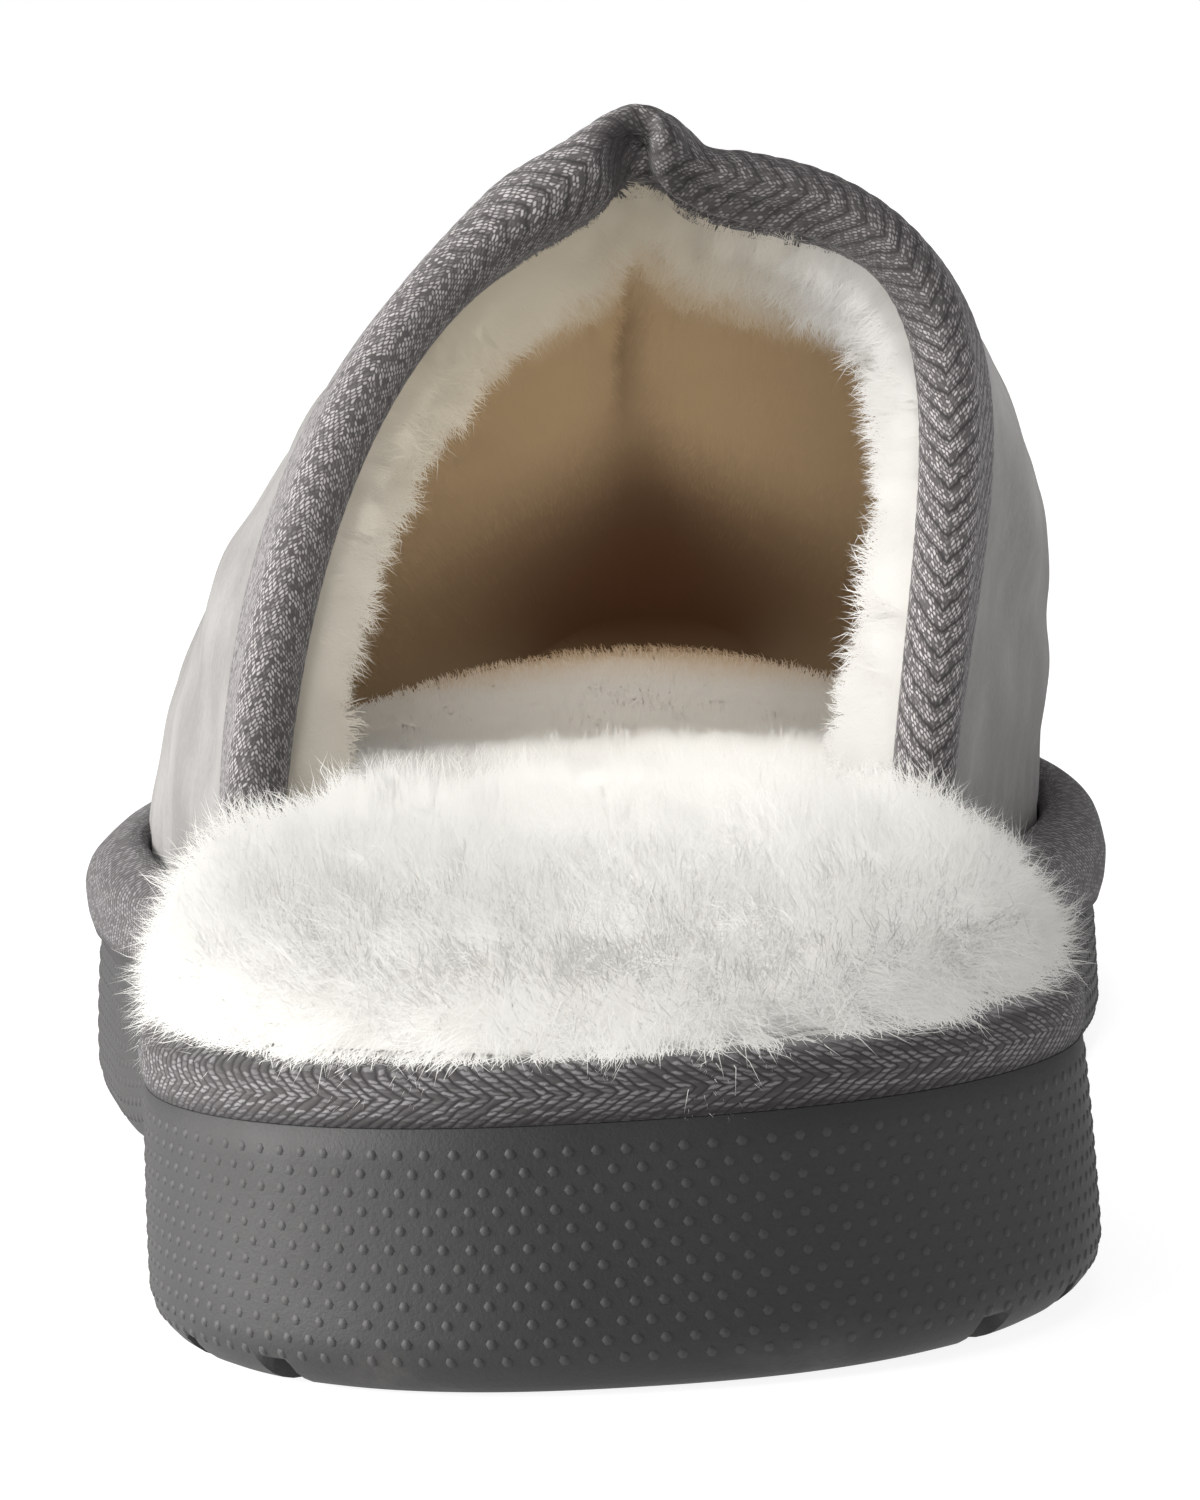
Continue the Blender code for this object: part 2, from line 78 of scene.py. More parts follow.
class OutlineRow(NamedTuple):
    """Plan outline of the sole: share of the length, centre line and half width in millimetres."""

    along: float
    centre: float
    half_width: float


class HeightRow(NamedTuple):
    """Heights along the sole in millimetres."""

    along: float
    ground: float
    joint: float
    band_top: float
    fur_top: float


class UpperRow(NamedTuple):
    """Section of the upper: ridge in millimetres and the roundness of its two sides."""

    along: float
    ridge_shift: float
    ridge_top: float
    lateral_round: float
    medial_round: float
    medial_belly: float


class ProfileRow(NamedTuple):
    """Point of the platform tape's section: share of its height, stand-out at heel and forefoot in millimetres."""

    along: float
    heel: float
    forefoot: float


class PileRow(NamedTuple):
    """Ring of the footbed: place from rim to crown, insets at the heel and in the upper in mm, share of height."""

    along: float
    heel_inset: float
    forefoot_inset: float
    rise: float


class Crease(NamedTuple):
    """Soft trough on the vamp from one place to another, each as around and toward the toe, in millimetres."""

    around_from: float
    toward_from: float
    around_to: float
    toward_to: float
    depth: float
    width: float


class LumpRow(NamedTuple):
    """Unevenness: distance between crests in millimetres, start of its random draws and share of the height."""

    size: float
    seed: int
    share: float


class FadeRow(NamedTuple):
    """Loss of fur along the shoe: where it starts and ends in millimetres, and the share that is lost."""

    start: float
    end: float
    share: float


class Swell(NamedTuple):
    """Rounded rise along a piece: its middle and width in millimetres, and its height."""

    middle: float
    width: float
    height: float

    def at(self, run: np.ndarray) -> np.ndarray:
        """Height at places along the piece, in metres."""
        return self.height * hump(run, self.width * MM, self.middle * MM)


OUTLINE = (
    OutlineRow(0.00, 1.5, 41.5),
    OutlineRow(0.16, 1.0, 42.6),
    OutlineRow(0.30, -0.3, 41.8),
    OutlineRow(0.40, -1.5, 40.8),
    OutlineRow(0.48, -1.7, 44.2),
    OutlineRow(0.56, -1.2, 49.0),
    OutlineRow(0.68, 0.0, 53.2),
    OutlineRow(0.80, 2.0, 52.4),
    OutlineRow(0.90, 4.2, 49.6),
    OutlineRow(1.00, 6.5, 46.0),
)
HEIGHTS = (
    HeightRow(0.00, 0.0, 23.6, 28.6, 38.0),
    HeightRow(0.10, 0.0, 23.4, 28.4, 39.5),
    HeightRow(0.37, 0.0, 21.8, 27.8, 39.5),
    HeightRow(0.46, 2.0, 20.0, 27.4, 38.5),
    HeightRow(0.55, 0.0, 18.4, 27.0, 37.5),
    HeightRow(0.77, 0.0, 16.6, 27.0, 37.0),
    HeightRow(0.90, 2.4, 18.2, 28.4, 38.0),
    HeightRow(1.00, 6.5, 21.6, 31.0, 40.0),
)
UPPER = (
    UpperRow(0.36, 7.2, 104.5, 1.85, 2.90, 8.0),
    UpperRow(0.46, 7.2, 98.8, 1.88, 2.90, 8.0),
    UpperRow(0.55, 6.5, 90.5, 2.00, 3.00, 7.5),
    UpperRow(0.66, 5.0, 78.0, 2.05, 2.80, 5.5),
    UpperRow(0.78, 4.0, 66.5, 2.15, 2.40, 2.8),
    UpperRow(0.90, 3.0, 56.0, 2.15, 2.20, 0.8),
    UpperRow(1.00, 2.0, 50.0, 2.15, 2.15, 0.0),
)


def blend(value: np.ndarray, start: float, end: float) -> np.ndarray:
    """Soft step from 0 at start to 1 at end."""
    t = np.clip((value - start) / (end - start), 0.0, 1.0)
    return t * t * (3 - 2 * t)


def hump(value: np.ndarray, width: float | np.ndarray, middle: float = 0.0) -> np.ndarray:
    """Rounded rise to 1 at its middle, which fades out over its width on both sides."""
    return np.exp(-(((value - middle) / width) ** 2))


def rounded_end(share: np.ndarray, power: float) -> np.ndarray:
    """Width left at a share of the way into a rounded end: 0 at its tip, 1 where the end is passed."""
    return (1 - (1 - np.clip(share, 0.0, 1.0)) ** power) ** (1 / power)


def unit(vectors: np.ndarray) -> np.ndarray:
    """Vectors brought to length one."""
    return vectors / np.maximum(np.linalg.norm(vectors, axis=-1, keepdims=True), 1e-12)


def waves(points: np.ndarray, size: float, seed: int, count: int = 14) -> np.ndarray:
    """Smooth unevenness without a visible repeat.

    Args:
        points: Places, any number by three.
        size: Distance between neighbouring crests, in metres.
        seed: Start of the random draws.
        count: Number of plane waves that are added up.

    Returns:
        One value a place, mostly between -1 and 1.
    """
    draw = np.random.default_rng(seed)
    ways = unit(draw.normal(size=(count, 3))) * draw.uniform(0.6, 1.5, (count, 1)) * 2 * math.pi / size
    phases = draw.uniform(0, 2 * math.pi, count)
    return np.sin(points @ ways.T + phases).sum(-1) / math.sqrt(count / 1.2)


def lumpy(points: np.ndarray, rows: tuple[LumpRow, ...]) -> np.ndarray:
    """Sum of several sizes of unevenness at places."""
    return sum(waves(points, row.size * MM, row.seed) * row.share for row in rows)


def faded(y: np.ndarray, rows: tuple[FadeRow, ...]) -> np.ndarray:
    """Share of the fur that is left at y."""
    return 1.0 - sum(row.share * blend(y, row.start * MM, row.end * MM) for row in rows)


@dataclass(frozen=True)
class Table:
    """Rows of sizes, read through curves that never overshoot them."""

    rows: tuple

    def at(self, column: str, along: np.ndarray) -> np.ndarray:
        """Values of a column.

        Args:
            column: Name of the column.
            along: Places between the first and the last row.

        Returns:
            One value a place.
        """
        places = np.array([row.along for row in self.rows])
        values = np.array([getattr(row, column) for row in self.rows])
        steps = np.diff(places)
        rates = np.diff(values) / steps
        product = rates[:-1] * rates[1:]
        total = np.where(product > 0, rates[:-1] + rates[1:], 1.0)
        slopes = np.concatenate((rates[:1], np.where(product > 0, 2 * product / total, 0.0), rates[-1:]))
        along = np.clip(along, places[0], places[-1])
        high = np.clip(np.searchsorted(places, along, side="right"), 1, len(places) - 1)
        low = high - 1
        t = (along - places[low]) / steps[low]
        bend = slopes[low] * (t**3 - 2 * t**2 + t) + slopes[high] * (t**3 - t**2)
        return values[low] * (2 * t**3 - 3 * t**2 + 1) + values[high] * (3 * t**2 - 2 * t**3) + steps[low] * bend


@dataclass
class Last:
    """The slipper's form: plan outline, heights, upper and the twist of its soft forefoot."""

    length: float = 278 * MM
    heel_round_share: float = 0.165
    heel_round_power: float = 2.35
    toe_round_share: float = 0.26
    toe_round_power: float = 2.3
    twist: float = math.radians(1.9)
    twist_from: float = 0.20
    twist_to: float = 0.50
    twist_height: float = 18 * MM
    gap: float = 0.3 * MM
    upper_inset: float = 6.3 * MM
    collar_top: float = 0.465
    collar_end: float = 0.388
    toe_dome: float = 42 * MM
    toe_dome_power: float = 2.2
    seam_peak: float = 4.6 * MM
    seam_peak_width: float = 6.2 * MM
    seam_peak_length: float = 26 * MM
    base_crowding: float = 1.25
    band_stand_out: float = 1.0 * MM
    shift: float = field(init=False, default=0.0)
    outline: Table = field(init=False, default=Table(OUTLINE))
    heights: Table = field(init=False, default=Table(HEIGHTS))
    sections: Table = field(init=False, default=Table(UPPER))

    def __post_init__(self) -> None:
        """Puts the middle of the platform's greatest width at X = 0."""
        y = self.place(np.linspace(0, 1, 201))
        middle = 0.5 * (self.height("joint", y) + self.height("band_top", y))
        edges = [np.stack((self.edge(y, side.value, self.band_stand_out), y, middle), 1) for side in Side]
        reach = self.twisted(np.concatenate(edges))[:, 0]
        self.shift = -0.5 * (reach.max() + reach.min())

    @property
    def tip(self) -> float:
        """Y of the upper's foremost point."""
        return self.length / 2 - self.upper_inset

    def share(self, y: np.ndarray, offset: np.ndarray | float = 0.0) -> np.ndarray:
        """Share of the length at y, on the outline set out by offset."""
        reach = self.length / 2 + offset
        return np.clip((y + reach) / (2 * reach), 0.0, 1.0)

    def place(self, share: np.ndarray | float) -> np.ndarray | float:
        """Y at a share of the length."""
        return (share - 0.5) * self.length

    def centre(self, y: np.ndarray) -> np.ndarray:
        """X of the centre line."""
        return self.outline.at("centre", self.share(y)) * MM + self.shift

    def edge(self, y: np.ndarray, side: np.ndarray | int, offset: np.ndarray | float) -> np.ndarray:
        """X of the outline set out by offset, on the side that the sign gives."""
        along = self.share(y, offset)
        half = self.outline.at("half_width", along) * MM + offset
        half = half * rounded_end(along / self.heel_round_share, self.heel_round_power)
        half = half * rounded_end((1 - along) / self.toe_round_share, self.toe_round_power)
        return self.centre(y) + side * half

    def height(self, column: str, y: np.ndarray) -> np.ndarray:
        """Height of one of the sole's lines at y."""
        return self.heights.at(column, self.share(y)) * MM

    def ring(self, y: np.ndarray, side: np.ndarray, offset: np.ndarray | float, z: np.ndarray) -> np.ndarray:
        """Points on the outline set out by offset, where the plain outline has y, at the heights z."""
        spread = y * (1 + 2 * offset / self.length)
        return np.stack((self.edge(spread, side, offset), spread, z), -1)

    def walk(self, count: int, offset: float) -> tuple[np.ndarray, np.ndarray, np.ndarray]:
        """Even steps round the outline, from the toe down the lateral side, round the heel and back.

        Args:
            count: Number of steps.
            offset: How far the line lies outside the outline.

        Returns:
            Y on the plain outline, the sign of the side and the way walked so far, one for each step.
        """
        turn = np.linspace(0, 2 * math.pi, 6001)
        y = np.cos(turn) * self.length / 2
        side = np.where(turn < math.pi, Side.LATERAL.value, Side.MEDIAL.value)
        line = self.ring(y, side, offset, np.zeros_like(y))
        travel = np.concatenate(([0.0], np.cumsum(np.linalg.norm(np.diff(line, axis=0), axis=1))))
        even = np.linspace(0, travel[-1], count, endpoint=False)
        turned = np.interp(even, travel, turn)
        sides = np.where(turned < math.pi, Side.LATERAL.value, Side.MEDIAL.value)
        return np.cos(turned) * self.length / 2, sides, even

    def toe_closing(self, y: np.ndarray) -> np.ndarray:
        """Share of the ridge's height that is left near the toe."""
        return rounded_end((self.tip - y) / self.toe_dome, self.toe_dome_power)

    def climb(self, around: np.ndarray) -> np.ndarray:
        """Angle up the section: 0 at either edge, a right angle on the ridge."""
        return math.pi / 2 * (1 - np.abs(around)) ** self.base_crowding

    def collar_y(self, around: np.ndarray) -> np.ndarray:
        """Where the collar cuts the upper: furthest forward on the ridge, swept back at both ends."""
        rise = np.sin(self.climb(around))
        return self.place(self.collar_end + (self.collar_top - self.collar_end) * rise)

    def upper(self, y: np.ndarray, around: np.ndarray) -> np.ndarray:
        """Outer face of the upper.

        Args:
            y: Places from heel to toe.
            around: -1 at the lateral edge, 0 on the ridge and 1 at the medial edge.

        Returns:
            Points, one a place.
        """
        along = self.share(y)
        medial = around > 0
        climb = self.climb(around)
        medial_round = self.sections.at("medial_round", along)
        power = 2 / np.where(medial, medial_round, self.sections.at("lateral_round", along))
        closing = self.toe_closing(y)
        foot = self.height("band_top", y)
        ridge = self.centre(y) + self.sections.at("ridge_shift", along) * MM * closing
        top = foot + (self.sections.at("ridge_top", along) * MM - foot) * closing
        edge = self.edge(y, np.where(medial, 1, -1), -self.upper_inset)
        x = ridge + (edge - ridge) * np.clip(np.cos(climb), 0, 1) ** power
        z = foot + (top - foot) * np.sin(climb) ** power
        belly = self.sections.at("medial_belly", along) * MM * closing * np.sin(2 * climb)
        x = x + np.where(medial, belly, 0.0)
        behind = np.maximum(y - self.place(self.collar_top), 0.0) / self.seam_peak_length
        z = z + self.seam_peak * np.exp(-(((x - ridge) / self.seam_peak_width) ** 2) - behind)
        return np.stack((x, y, z), -1)

    def upper_frame(self, around: np.ndarray, along: np.ndarray) -> tuple[np.ndarray, np.ndarray, np.ndarray]:
        """Point, outward normal and forward direction on the upper, at a distance along from the collar edge."""
        step, turn = 0.2 * MM, 1 / 14
        y = self.collar_y(around) + np.maximum(along, 0.0)
        here = self.upper(y, around)
        forward = unit(self.upper(y + step, around) - here)
        across = self.upper(y, np.minimum(around + turn, 1.0)) - self.upper(y, np.maximum(around - turn, -1.0))
        return here, unit(np.cross(across, forward)), forward

    def twisted(self, points: np.ndarray) -> np.ndarray:
        """Points moved to where the twist of the forefoot puts them. The floor stays flat."""
        share = blend(self.share(points[..., 1]), self.twist_from, self.twist_to)
        share = share * blend(points[..., 2], 0.0, self.twist_height)
        lean = share * math.tan(self.twist)
        x, y, z = points[..., 0], points[..., 1], points[..., 2]
        return np.stack((x + lean * z, y, z - lean * x), -1)


LAST = Last()


def grid_faces(rows: int, columns: int, closed: bool = False) -> np.ndarray:
    """Quads of a grid of points.

    Args:
        rows: Rows of points.
        columns: Points in each row.
        closed: Whether the last point of a row joins the first.

    Returns:
        Four point numbers a face.
    """
    near = np.arange(columns if closed else columns - 1)
    far = (near + 1) % columns
    low = np.arange(rows - 1)[:, None] * columns
    corners = (low + near, low + far, low + columns + far, low + columns + near)
    return np.stack([corner.ravel() for corner in corners], 1)


def grid_normals(points: np.ndarray) -> np.ndarray:
    """Normals of a grid of points, rows by columns by three."""
    return unit(np.cross(np.gradient(points, axis=1), np.gradient(points, axis=0)))


def make_piece(
    name: str,
    points: np.ndarray,
    faces: list[np.ndarray],
    material: bpy.types.Material,
    marks: dict[str, np.ndarray] | None = None,
    normals: np.ndarray | None = None,
) -> bpy.types.Object:
    """One piece of the slipper, which rides on its body.

    Args:
        name: Plain name of the piece.
        points: Points before the twist of the forefoot, any number by three.
        faces: Arrays of faces, each with one number of corners.
        material: Finish of the piece.
        marks: Named values for the finish, three a point.
        normals: Shading normals, one a point, where they aren't the faces' own.

    Returns:
        The new object.
    """
    mesh = bpy.data.meshes.new(name)
    mesh.vertices.add(len(points))
    mesh.vertices.foreach_set("co", LAST.twisted(points).astype(np.float32).ravel())
    corners = np.concatenate([group.ravel() for group in faces])
    sizes = np.concatenate([np.full(len(group), group.shape[1]) for group in faces])
    mesh.loops.add(len(corners))
    mesh.loops.foreach_set("vertex_index", corners.astype(np.int32))
    mesh.polygons.add(len(sizes))
    mesh.polygons.foreach_set("loop_start", np.concatenate(([0], np.cumsum(sizes)[:-1])).astype(np.int32))
    mesh.update(calc_edges=True)
    mesh.validate()
    mesh.shade_smooth()
    for mark, values in (marks or {}).items():
        layer = mesh.attributes.new(mark, "FLOAT_VECTOR", "POINT")
        layer.data.foreach_set("vector", values.astype(np.float32).ravel())
    if normals is not None:
        mesh.normals_split_custom_set_from_vertices(normals.astype(np.float32))
    mesh.materials.append(material)
    thing = bpy.data.objects.new(name, mesh)
    thing.visible_shadow = thing.visible_diffuse = normals is None
    bpy.context.scene.collection.objects.link(thing)
    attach(thing, BODY)
    LOG.info("%s: %d points, %d faces", name, len(points), len(sizes))
    return thing


class Graph:
    """Short way to place nodes and link them."""

    def __init__(self, tree: bpy.types.NodeTree) -> None:
        """Works on one node tree."""
        self.tree = tree

    def node(self, kind: str, settings: dict | None = None, **inputs: object) -> bpy.types.Node:
        """Adds a node.

        Args:
            kind: Node type without its ShaderNode start, or a whole type name.
            settings: Values of the node's own properties.
            inputs: Links or values by socket name, with _ for a space, or by number as i0, i1.

        Returns:
            The node.
        """
        made = self.tree.nodes.new(kind if kind.startswith("NodeGroup") else "ShaderNode" + kind)
        for key, value in (settings or {}).items():
            setattr(made, key, value)
        for key, value in inputs.items():
            socket = made.inputs[int(key[1:])] if key[1:].isdigit() else made.inputs[key.replace("_", " ")]
            self.feed(socket, value)
        return made

    def feed(self, socket: bpy.types.NodeSocket, value: object) -> None:
        """Links an output to a socket, or sets the socket's value."""
        if isinstance(value, bpy.types.NodeSocket):
            self.tree.links.new(value, socket)
        else:
            socket.default_value = value

    def math(self, operation: str, first: object, second: object = 0.0, clamp: bool = False) -> bpy.types.NodeSocket:
        """Output of a Math node."""
        return self.node("Math", {"operation": operation, "use_clamp": clamp}, i0=first, i1=second).outputs[0]

    def ramp(self, value: object, low: float, high: float, to_low: float = 0.0, to_high: float = 1.0) -> object:
        """Output of a smooth Map Range node."""
        settings = {"interpolation_type": "SMOOTHSTEP"}
        made = self.node("MapRange", settings, i0=value, i1=low, i2=high, i3=to_low, i4=to_high)
        return made.outputs[0]

    def mix(self, share: object, first: object, second: object) -> bpy.types.NodeSocket:
        """Colour between two colours."""
        made = self.node("Mix", {"data_type": "RGBA"})
        self.feed(made.inputs[0], share)
        self.feed(made.inputs[6], first)
        self.feed(made.inputs[7], second)
        return made.outputs[2]

    def noise(self, vector: object, scale: float, detail: float = 3.0, roughness: float = 0.55) -> object:
        """Value of a noise texture."""
        made = self.node("TexNoise", None, Vector=vector, Scale=scale, Detail=detail, Roughness=roughness)
        return made.outputs[0]

    def mark(self, name: str) -> tuple[object, object, object]:
        """The three values that a piece's points carry under a name."""
        carried = self.node("Attribute", {"attribute_name": name, "attribute_type": "GEOMETRY"})
        parts = self.node("SeparateXYZ", None, i0=carried.outputs["Vector"])
        return parts.outputs[0], parts.outputs[1], parts.outputs[2]

    def place(self) -> bpy.types.NodeSocket:
        """Place on the piece, in metres."""
        return self.node("TexCoord").outputs["Object"]

    def group(self, made: bpy.types.NodeTree, **inputs: object) -> bpy.types.Node:
        """Places a node group."""
        return self.node("Group", {"node_tree": made}, **inputs)


def new_group(
    name: str, inputs: dict[str, tuple[str, object]], outputs: dict[str, str]
) -> tuple[Graph, bpy.types.Node, bpy.types.Node]:
    """An empty node group with named sockets.

    Args:
        name: Name of the group.
        inputs: Kind and default of each input.
        outputs: Kind of each output.

    Returns:
        Its graph, its input node and its output node.
    """
    tree = bpy.data.node_groups.new(name, "ShaderNodeTree")
    for label, (kind, value) in inputs.items():
        socket = tree.interface.new_socket(label, in_out="INPUT", socket_type="NodeSocket" + kind)
        if value is not None:
            socket.default_value = value
    for label, kind in outputs.items():
        tree.interface.new_socket(label, in_out="OUTPUT", socket_type="NodeSocket" + kind)
    graph = Graph(tree)
    return graph, graph.node("NodeGroupInput"), graph.node("NodeGroupOutput")


def herringbone_group() -> bpy.types.NodeTree:
    """Slanted ribs of a few yarns that meet in a spine, each yarn a row of short bright floats."""
    inputs = {
        "Along": ("Float", 0.0),
        "Across": ("Float", 0.0),
        "Pitch": ("Float", 2.4 * MM),
        "Slant": ("Float", 1.0),
        "Yarns": ("Float", 4.0),
        "Float": ("Float", 0.40 * MM),
        "Stray": ("Float", 0.55),
    }
    graph, given, put = new_group("herringbone", inputs, {"Rib": "Float", "Fleck": "Float"})
    spot = graph.node("CombineXYZ", None, X=given.outputs["Along"], Y=given.outputs["Across"], Z=0.0).outputs[0]
    uneven = graph.math("SUBTRACT", graph.noise(spot, 420.0, 2.0), 0.5)
    stray = graph.math("MULTIPLY", uneven, given.outputs["Stray"])
    across = graph.math("ABSOLUTE", given.outputs["Across"])
    run = graph.math("ADD", given.outputs["Along"], graph.math("MULTIPLY", across, given.outputs["Slant"]))
    slanted = graph.math("ADD", graph.math("DIVIDE", run, given.outputs["Pitch"]), stray)
    rib = graph.math("SINE", graph.math("MULTIPLY", graph.math("FRACT", slanted), math.pi))
    yarn = graph.math("MULTIPLY", slanted, given.outputs["Yarns"])
    shifted = graph.math("MULTIPLY", graph.math("FLOOR", yarn), 0.37)
    floats = graph.math("ADD", graph.math("DIVIDE", given.outputs["Across"], given.outputs["Float"]), shifted)
    jitter = graph.math("MULTIPLY", graph.math("SUBTRACT", graph.noise(spot, 1500.0, 1.0), 0.5), 1.1)
    floats = graph.math("ADD", floats, jitter)
    cell = graph.node("CombineXYZ", None, X=graph.math("FLOOR", yarn), Y=graph.math("FLOOR", floats), Z=0.0)
    chance = graph.node("TexWhiteNoise", {"noise_dimensions": "2D"}, Vector=cell.outputs[0]).outputs["Value"]
    round_yarn = graph.math("SINE", graph.math("MULTIPLY", graph.math("FRACT", yarn), math.pi))
    round_float = graph.math("SINE", graph.math("MULTIPLY", graph.math("FRACT", floats), math.pi))
    dash = graph.ramp(graph.math("MULTIPLY", round_yarn, round_float), 0.12, 0.75)
    graph.feed(put.inputs["Rib"], rib)
    graph.feed(put.inputs["Fleck"], graph.math("MULTIPLY", dash, graph.ramp(chance, 0.0, 0.8)))
    return graph.tree


def mottle_group() -> bpy.types.NodeTree:
    """Soft clouds and fine specks of lighter and darker colour."""
    inputs = {
        "Vector": ("Vector", None),
        "Cloud Scale": ("Float", 30.0),
        "Speck Scale": ("Float", 900.0),
        "Dark": ("Color", (0.1, 0.1, 0.1, 1.0)),
        "Light": ("Color", (0.3, 0.3, 0.3, 1.0)),
        "Specks": ("Float", 0.3),
    }
    graph, given, put = new_group("mottle", inputs, {"Color": "Color", "Cloud": "Float"})
    cloud = graph.ramp(graph.noise(given.outputs["Vector"], given.outputs["Cloud Scale"], 4.0), 0.32, 0.68)
    speck = graph.noise(given.outputs["Vector"], given.outputs["Speck Scale"], 2.0)
    centred = graph.math("MULTIPLY", graph.math("SUBTRACT", speck, 0.5), given.outputs["Specks"])
    share = graph.math("ADD", cloud, centred, clamp=True)
    graph.feed(put.inputs["Color"], graph.mix(share, given.outputs["Dark"], given.outputs["Light"]))
    graph.feed(put.inputs["Cloud"], cloud)
    return graph.tree


def nap_group() -> bpy.types.NodeTree:
    """Height of short fibres that lie one way, over a softer unevenness."""
    inputs = {"Vector": ("Vector", None), "Fibre Scale": ("Float", 1400.0), "Lie": ("Float", 3.0)}
    graph, given, put = new_group("nap", inputs, {"Height": "Float"})
    stretch = graph.node("CombineXYZ", None, X=1.0, Y=given.outputs["Lie"], Z=1.0).outputs[0]
    laid = graph.node("VectorMath", {"operation": "DIVIDE"}, i0=given.outputs["Vector"], i1=stretch).outputs[0]
    fibres = graph.noise(laid, given.outputs["Fibre Scale"], 3.0, 0.7)
    soft = graph.noise(given.outputs["Vector"], 210.0, 2.0)
    graph.feed(put.inputs["Height"], graph.math("ADD", fibres, graph.math("MULTIPLY", soft, 0.8)))
    return graph.tree


def dust_group() -> bpy.types.NodeTree:
    """Mask of dust and scuffs that fades upwards from a height, broken up by noise."""
    inputs = {"Vector": ("Vector", None), "Top": ("Float", 8 * MM), "Scale": ("Float", 60.0)}
    graph, given, put = new_group("dust", inputs, {"Mask": "Float"})
    z = graph.node("SeparateXYZ", None, i0=given.outputs["Vector"]).outputs[2]
    low = graph.math("SUBTRACT", 1.0, graph.math("DIVIDE", z, given.outputs["Top"]), clamp=True)
    patch = graph.ramp(graph.noise(given.outputs["Vector"], given.outputs["Scale"], 5.0, 0.65), 0.45, 0.72)
    graph.feed(put.inputs["Mask"], graph.math("MULTIPLY", low, patch))
    return graph.tree


@dataclass(frozen=True)
class Effects:
    """Node groups that several finishes share."""

    herringbone: bpy.types.NodeTree
    mottle: bpy.types.NodeTree
    nap: bpy.types.NodeTree
    dust: bpy.types.NodeTree

    @classmethod
    def made(cls) -> "Effects":
        """Builds each group once."""
        return cls(herringbone_group(), mottle_group(), nap_group(), dust_group())


EFFECTS = Effects.made()


def new_material(name: str, colour: Triple) -> tuple[bpy.types.Material, Graph, bpy.types.Node]:
    """A material with its graph and its Principled shader."""
    material = bpy.data.materials.new(name)
    material.use_nodes = True
    material.diffuse_color = (*colour, 1.0)
    graph = Graph(material.node_tree)
    shader = material.node_tree.nodes["Principled BSDF"]
    shader.inputs["Base Color"].default_value = (*colour, 1.0)
    return material, graph, shader


def add_bump(graph: Graph, shader: bpy.types.Node, height: object, strength: float, distance: float) -> None:
    """Bends the shader's normal by a height."""
    bump = graph.node("Bump", None, Height=height, Strength=strength, Distance=distance)
    graph.feed(shader.inputs["Normal"], bump.outputs[0])


def opaque(colour: Triple) -> tuple[float, float, float, float]:
    """A colour with full alpha."""
    return (*colour, 1.0)


@dataclass(frozen=True)
class SuedeFinish:
    """Brushed suede: cloudy grey nap with a soft sheen."""

    dark: Triple = (0.112, 0.107, 0.103)
    light: Triple = (0.195, 0.188, 0.183)
    roughness: float = 0.92
    sheen: float = 0.25

    def material(self) -> bpy.types.Material:
        """Builds the finish."""
        material, graph, shader = new_material("suede_nap", self.light)
        place = graph.place()
        inputs = {"Cloud_Scale": 34.0, "Speck_Scale": 1300.0, "Specks": 0.75}
        tone = graph.group(EFFECTS.mottle, Vector=place, Dark=opaque(self.dark), Light=opaque(self.light), **inputs)
        nap = graph.group(EFFECTS.nap, Vector=place).outputs[0]
        graph.feed(shader.inputs["Base Color"], tone.outputs["Color"])
        graph.feed(shader.inputs["Roughness"], graph.ramp(tone.outputs["Cloud"], 0.0, 1.0, self.roughness, 0.82))
        shader.inputs["Sheen Weight"].default_value = self.sheen
        shader.inputs["Sheen Roughness"].default_value = 0.55
        shader.inputs["Sheen Tint"].default_value = (0.9, 0.89, 0.88, 1.0)
        shader.inputs["Specular IOR Level"].default_value = 0.2
        add_bump(graph, shader, nap, 0.35, 0.25 * MM)
        return material


@dataclass(frozen=True)
class SoleFinish:
    """Matt foam rubber, a little dusty at its lower edge, with a painted highlight on the tops of its dots."""

    dark: Triple = (0.019, 0.0187, 0.019)
    light: Triple = (0.027, 0.0266, 0.0266)
    dot_highlight: Triple = (0.042, 0.0415, 0.0415)
    dust: Triple = (0.13, 0.126, 0.118)

    def material(self) -> bpy.types.Material:
        """Builds the finish."""
        material, graph, shader = new_material("sole_rubber", self.dark)
        place = graph.place()
        inputs = {"Cloud_Scale": 45.0, "Speck_Scale": 1500.0, "Specks": 0.9}
        tone = graph.group(EFFECTS.mottle, Vector=place, Dark=opaque(self.dark), Light=opaque(self.light), **inputs)
        dust = graph.group(EFFECTS.dust, Vector=place, Top=7 * MM, Scale=90.0).outputs[0]
        dusted = graph.math("MULTIPLY", dust, 0.35)
        # Painted highlight: the dots are lightened toward their tops, where they would catch the light.
        raised = graph.math("MULTIPLY", graph.mark("raised")[0], 0.8)
        highlighted = graph.mix(raised, tone.outputs["Color"], opaque(self.dot_highlight))
        graph.feed(shader.inputs["Base Color"], graph.mix(dusted, highlighted, opaque(self.dust)))
        graph.feed(shader.inputs["Roughness"], graph.ramp(tone.outputs["Cloud"], 0.0, 1.0, 0.60, 0.70))
        grain = graph.noise(place, 2600.0, 3.0, 0.7)
        add_bump(graph, shader, grain, 0.3, 0.2 * MM)
        shader.inputs["Specular IOR Level"].default_value = 0.42
        return material


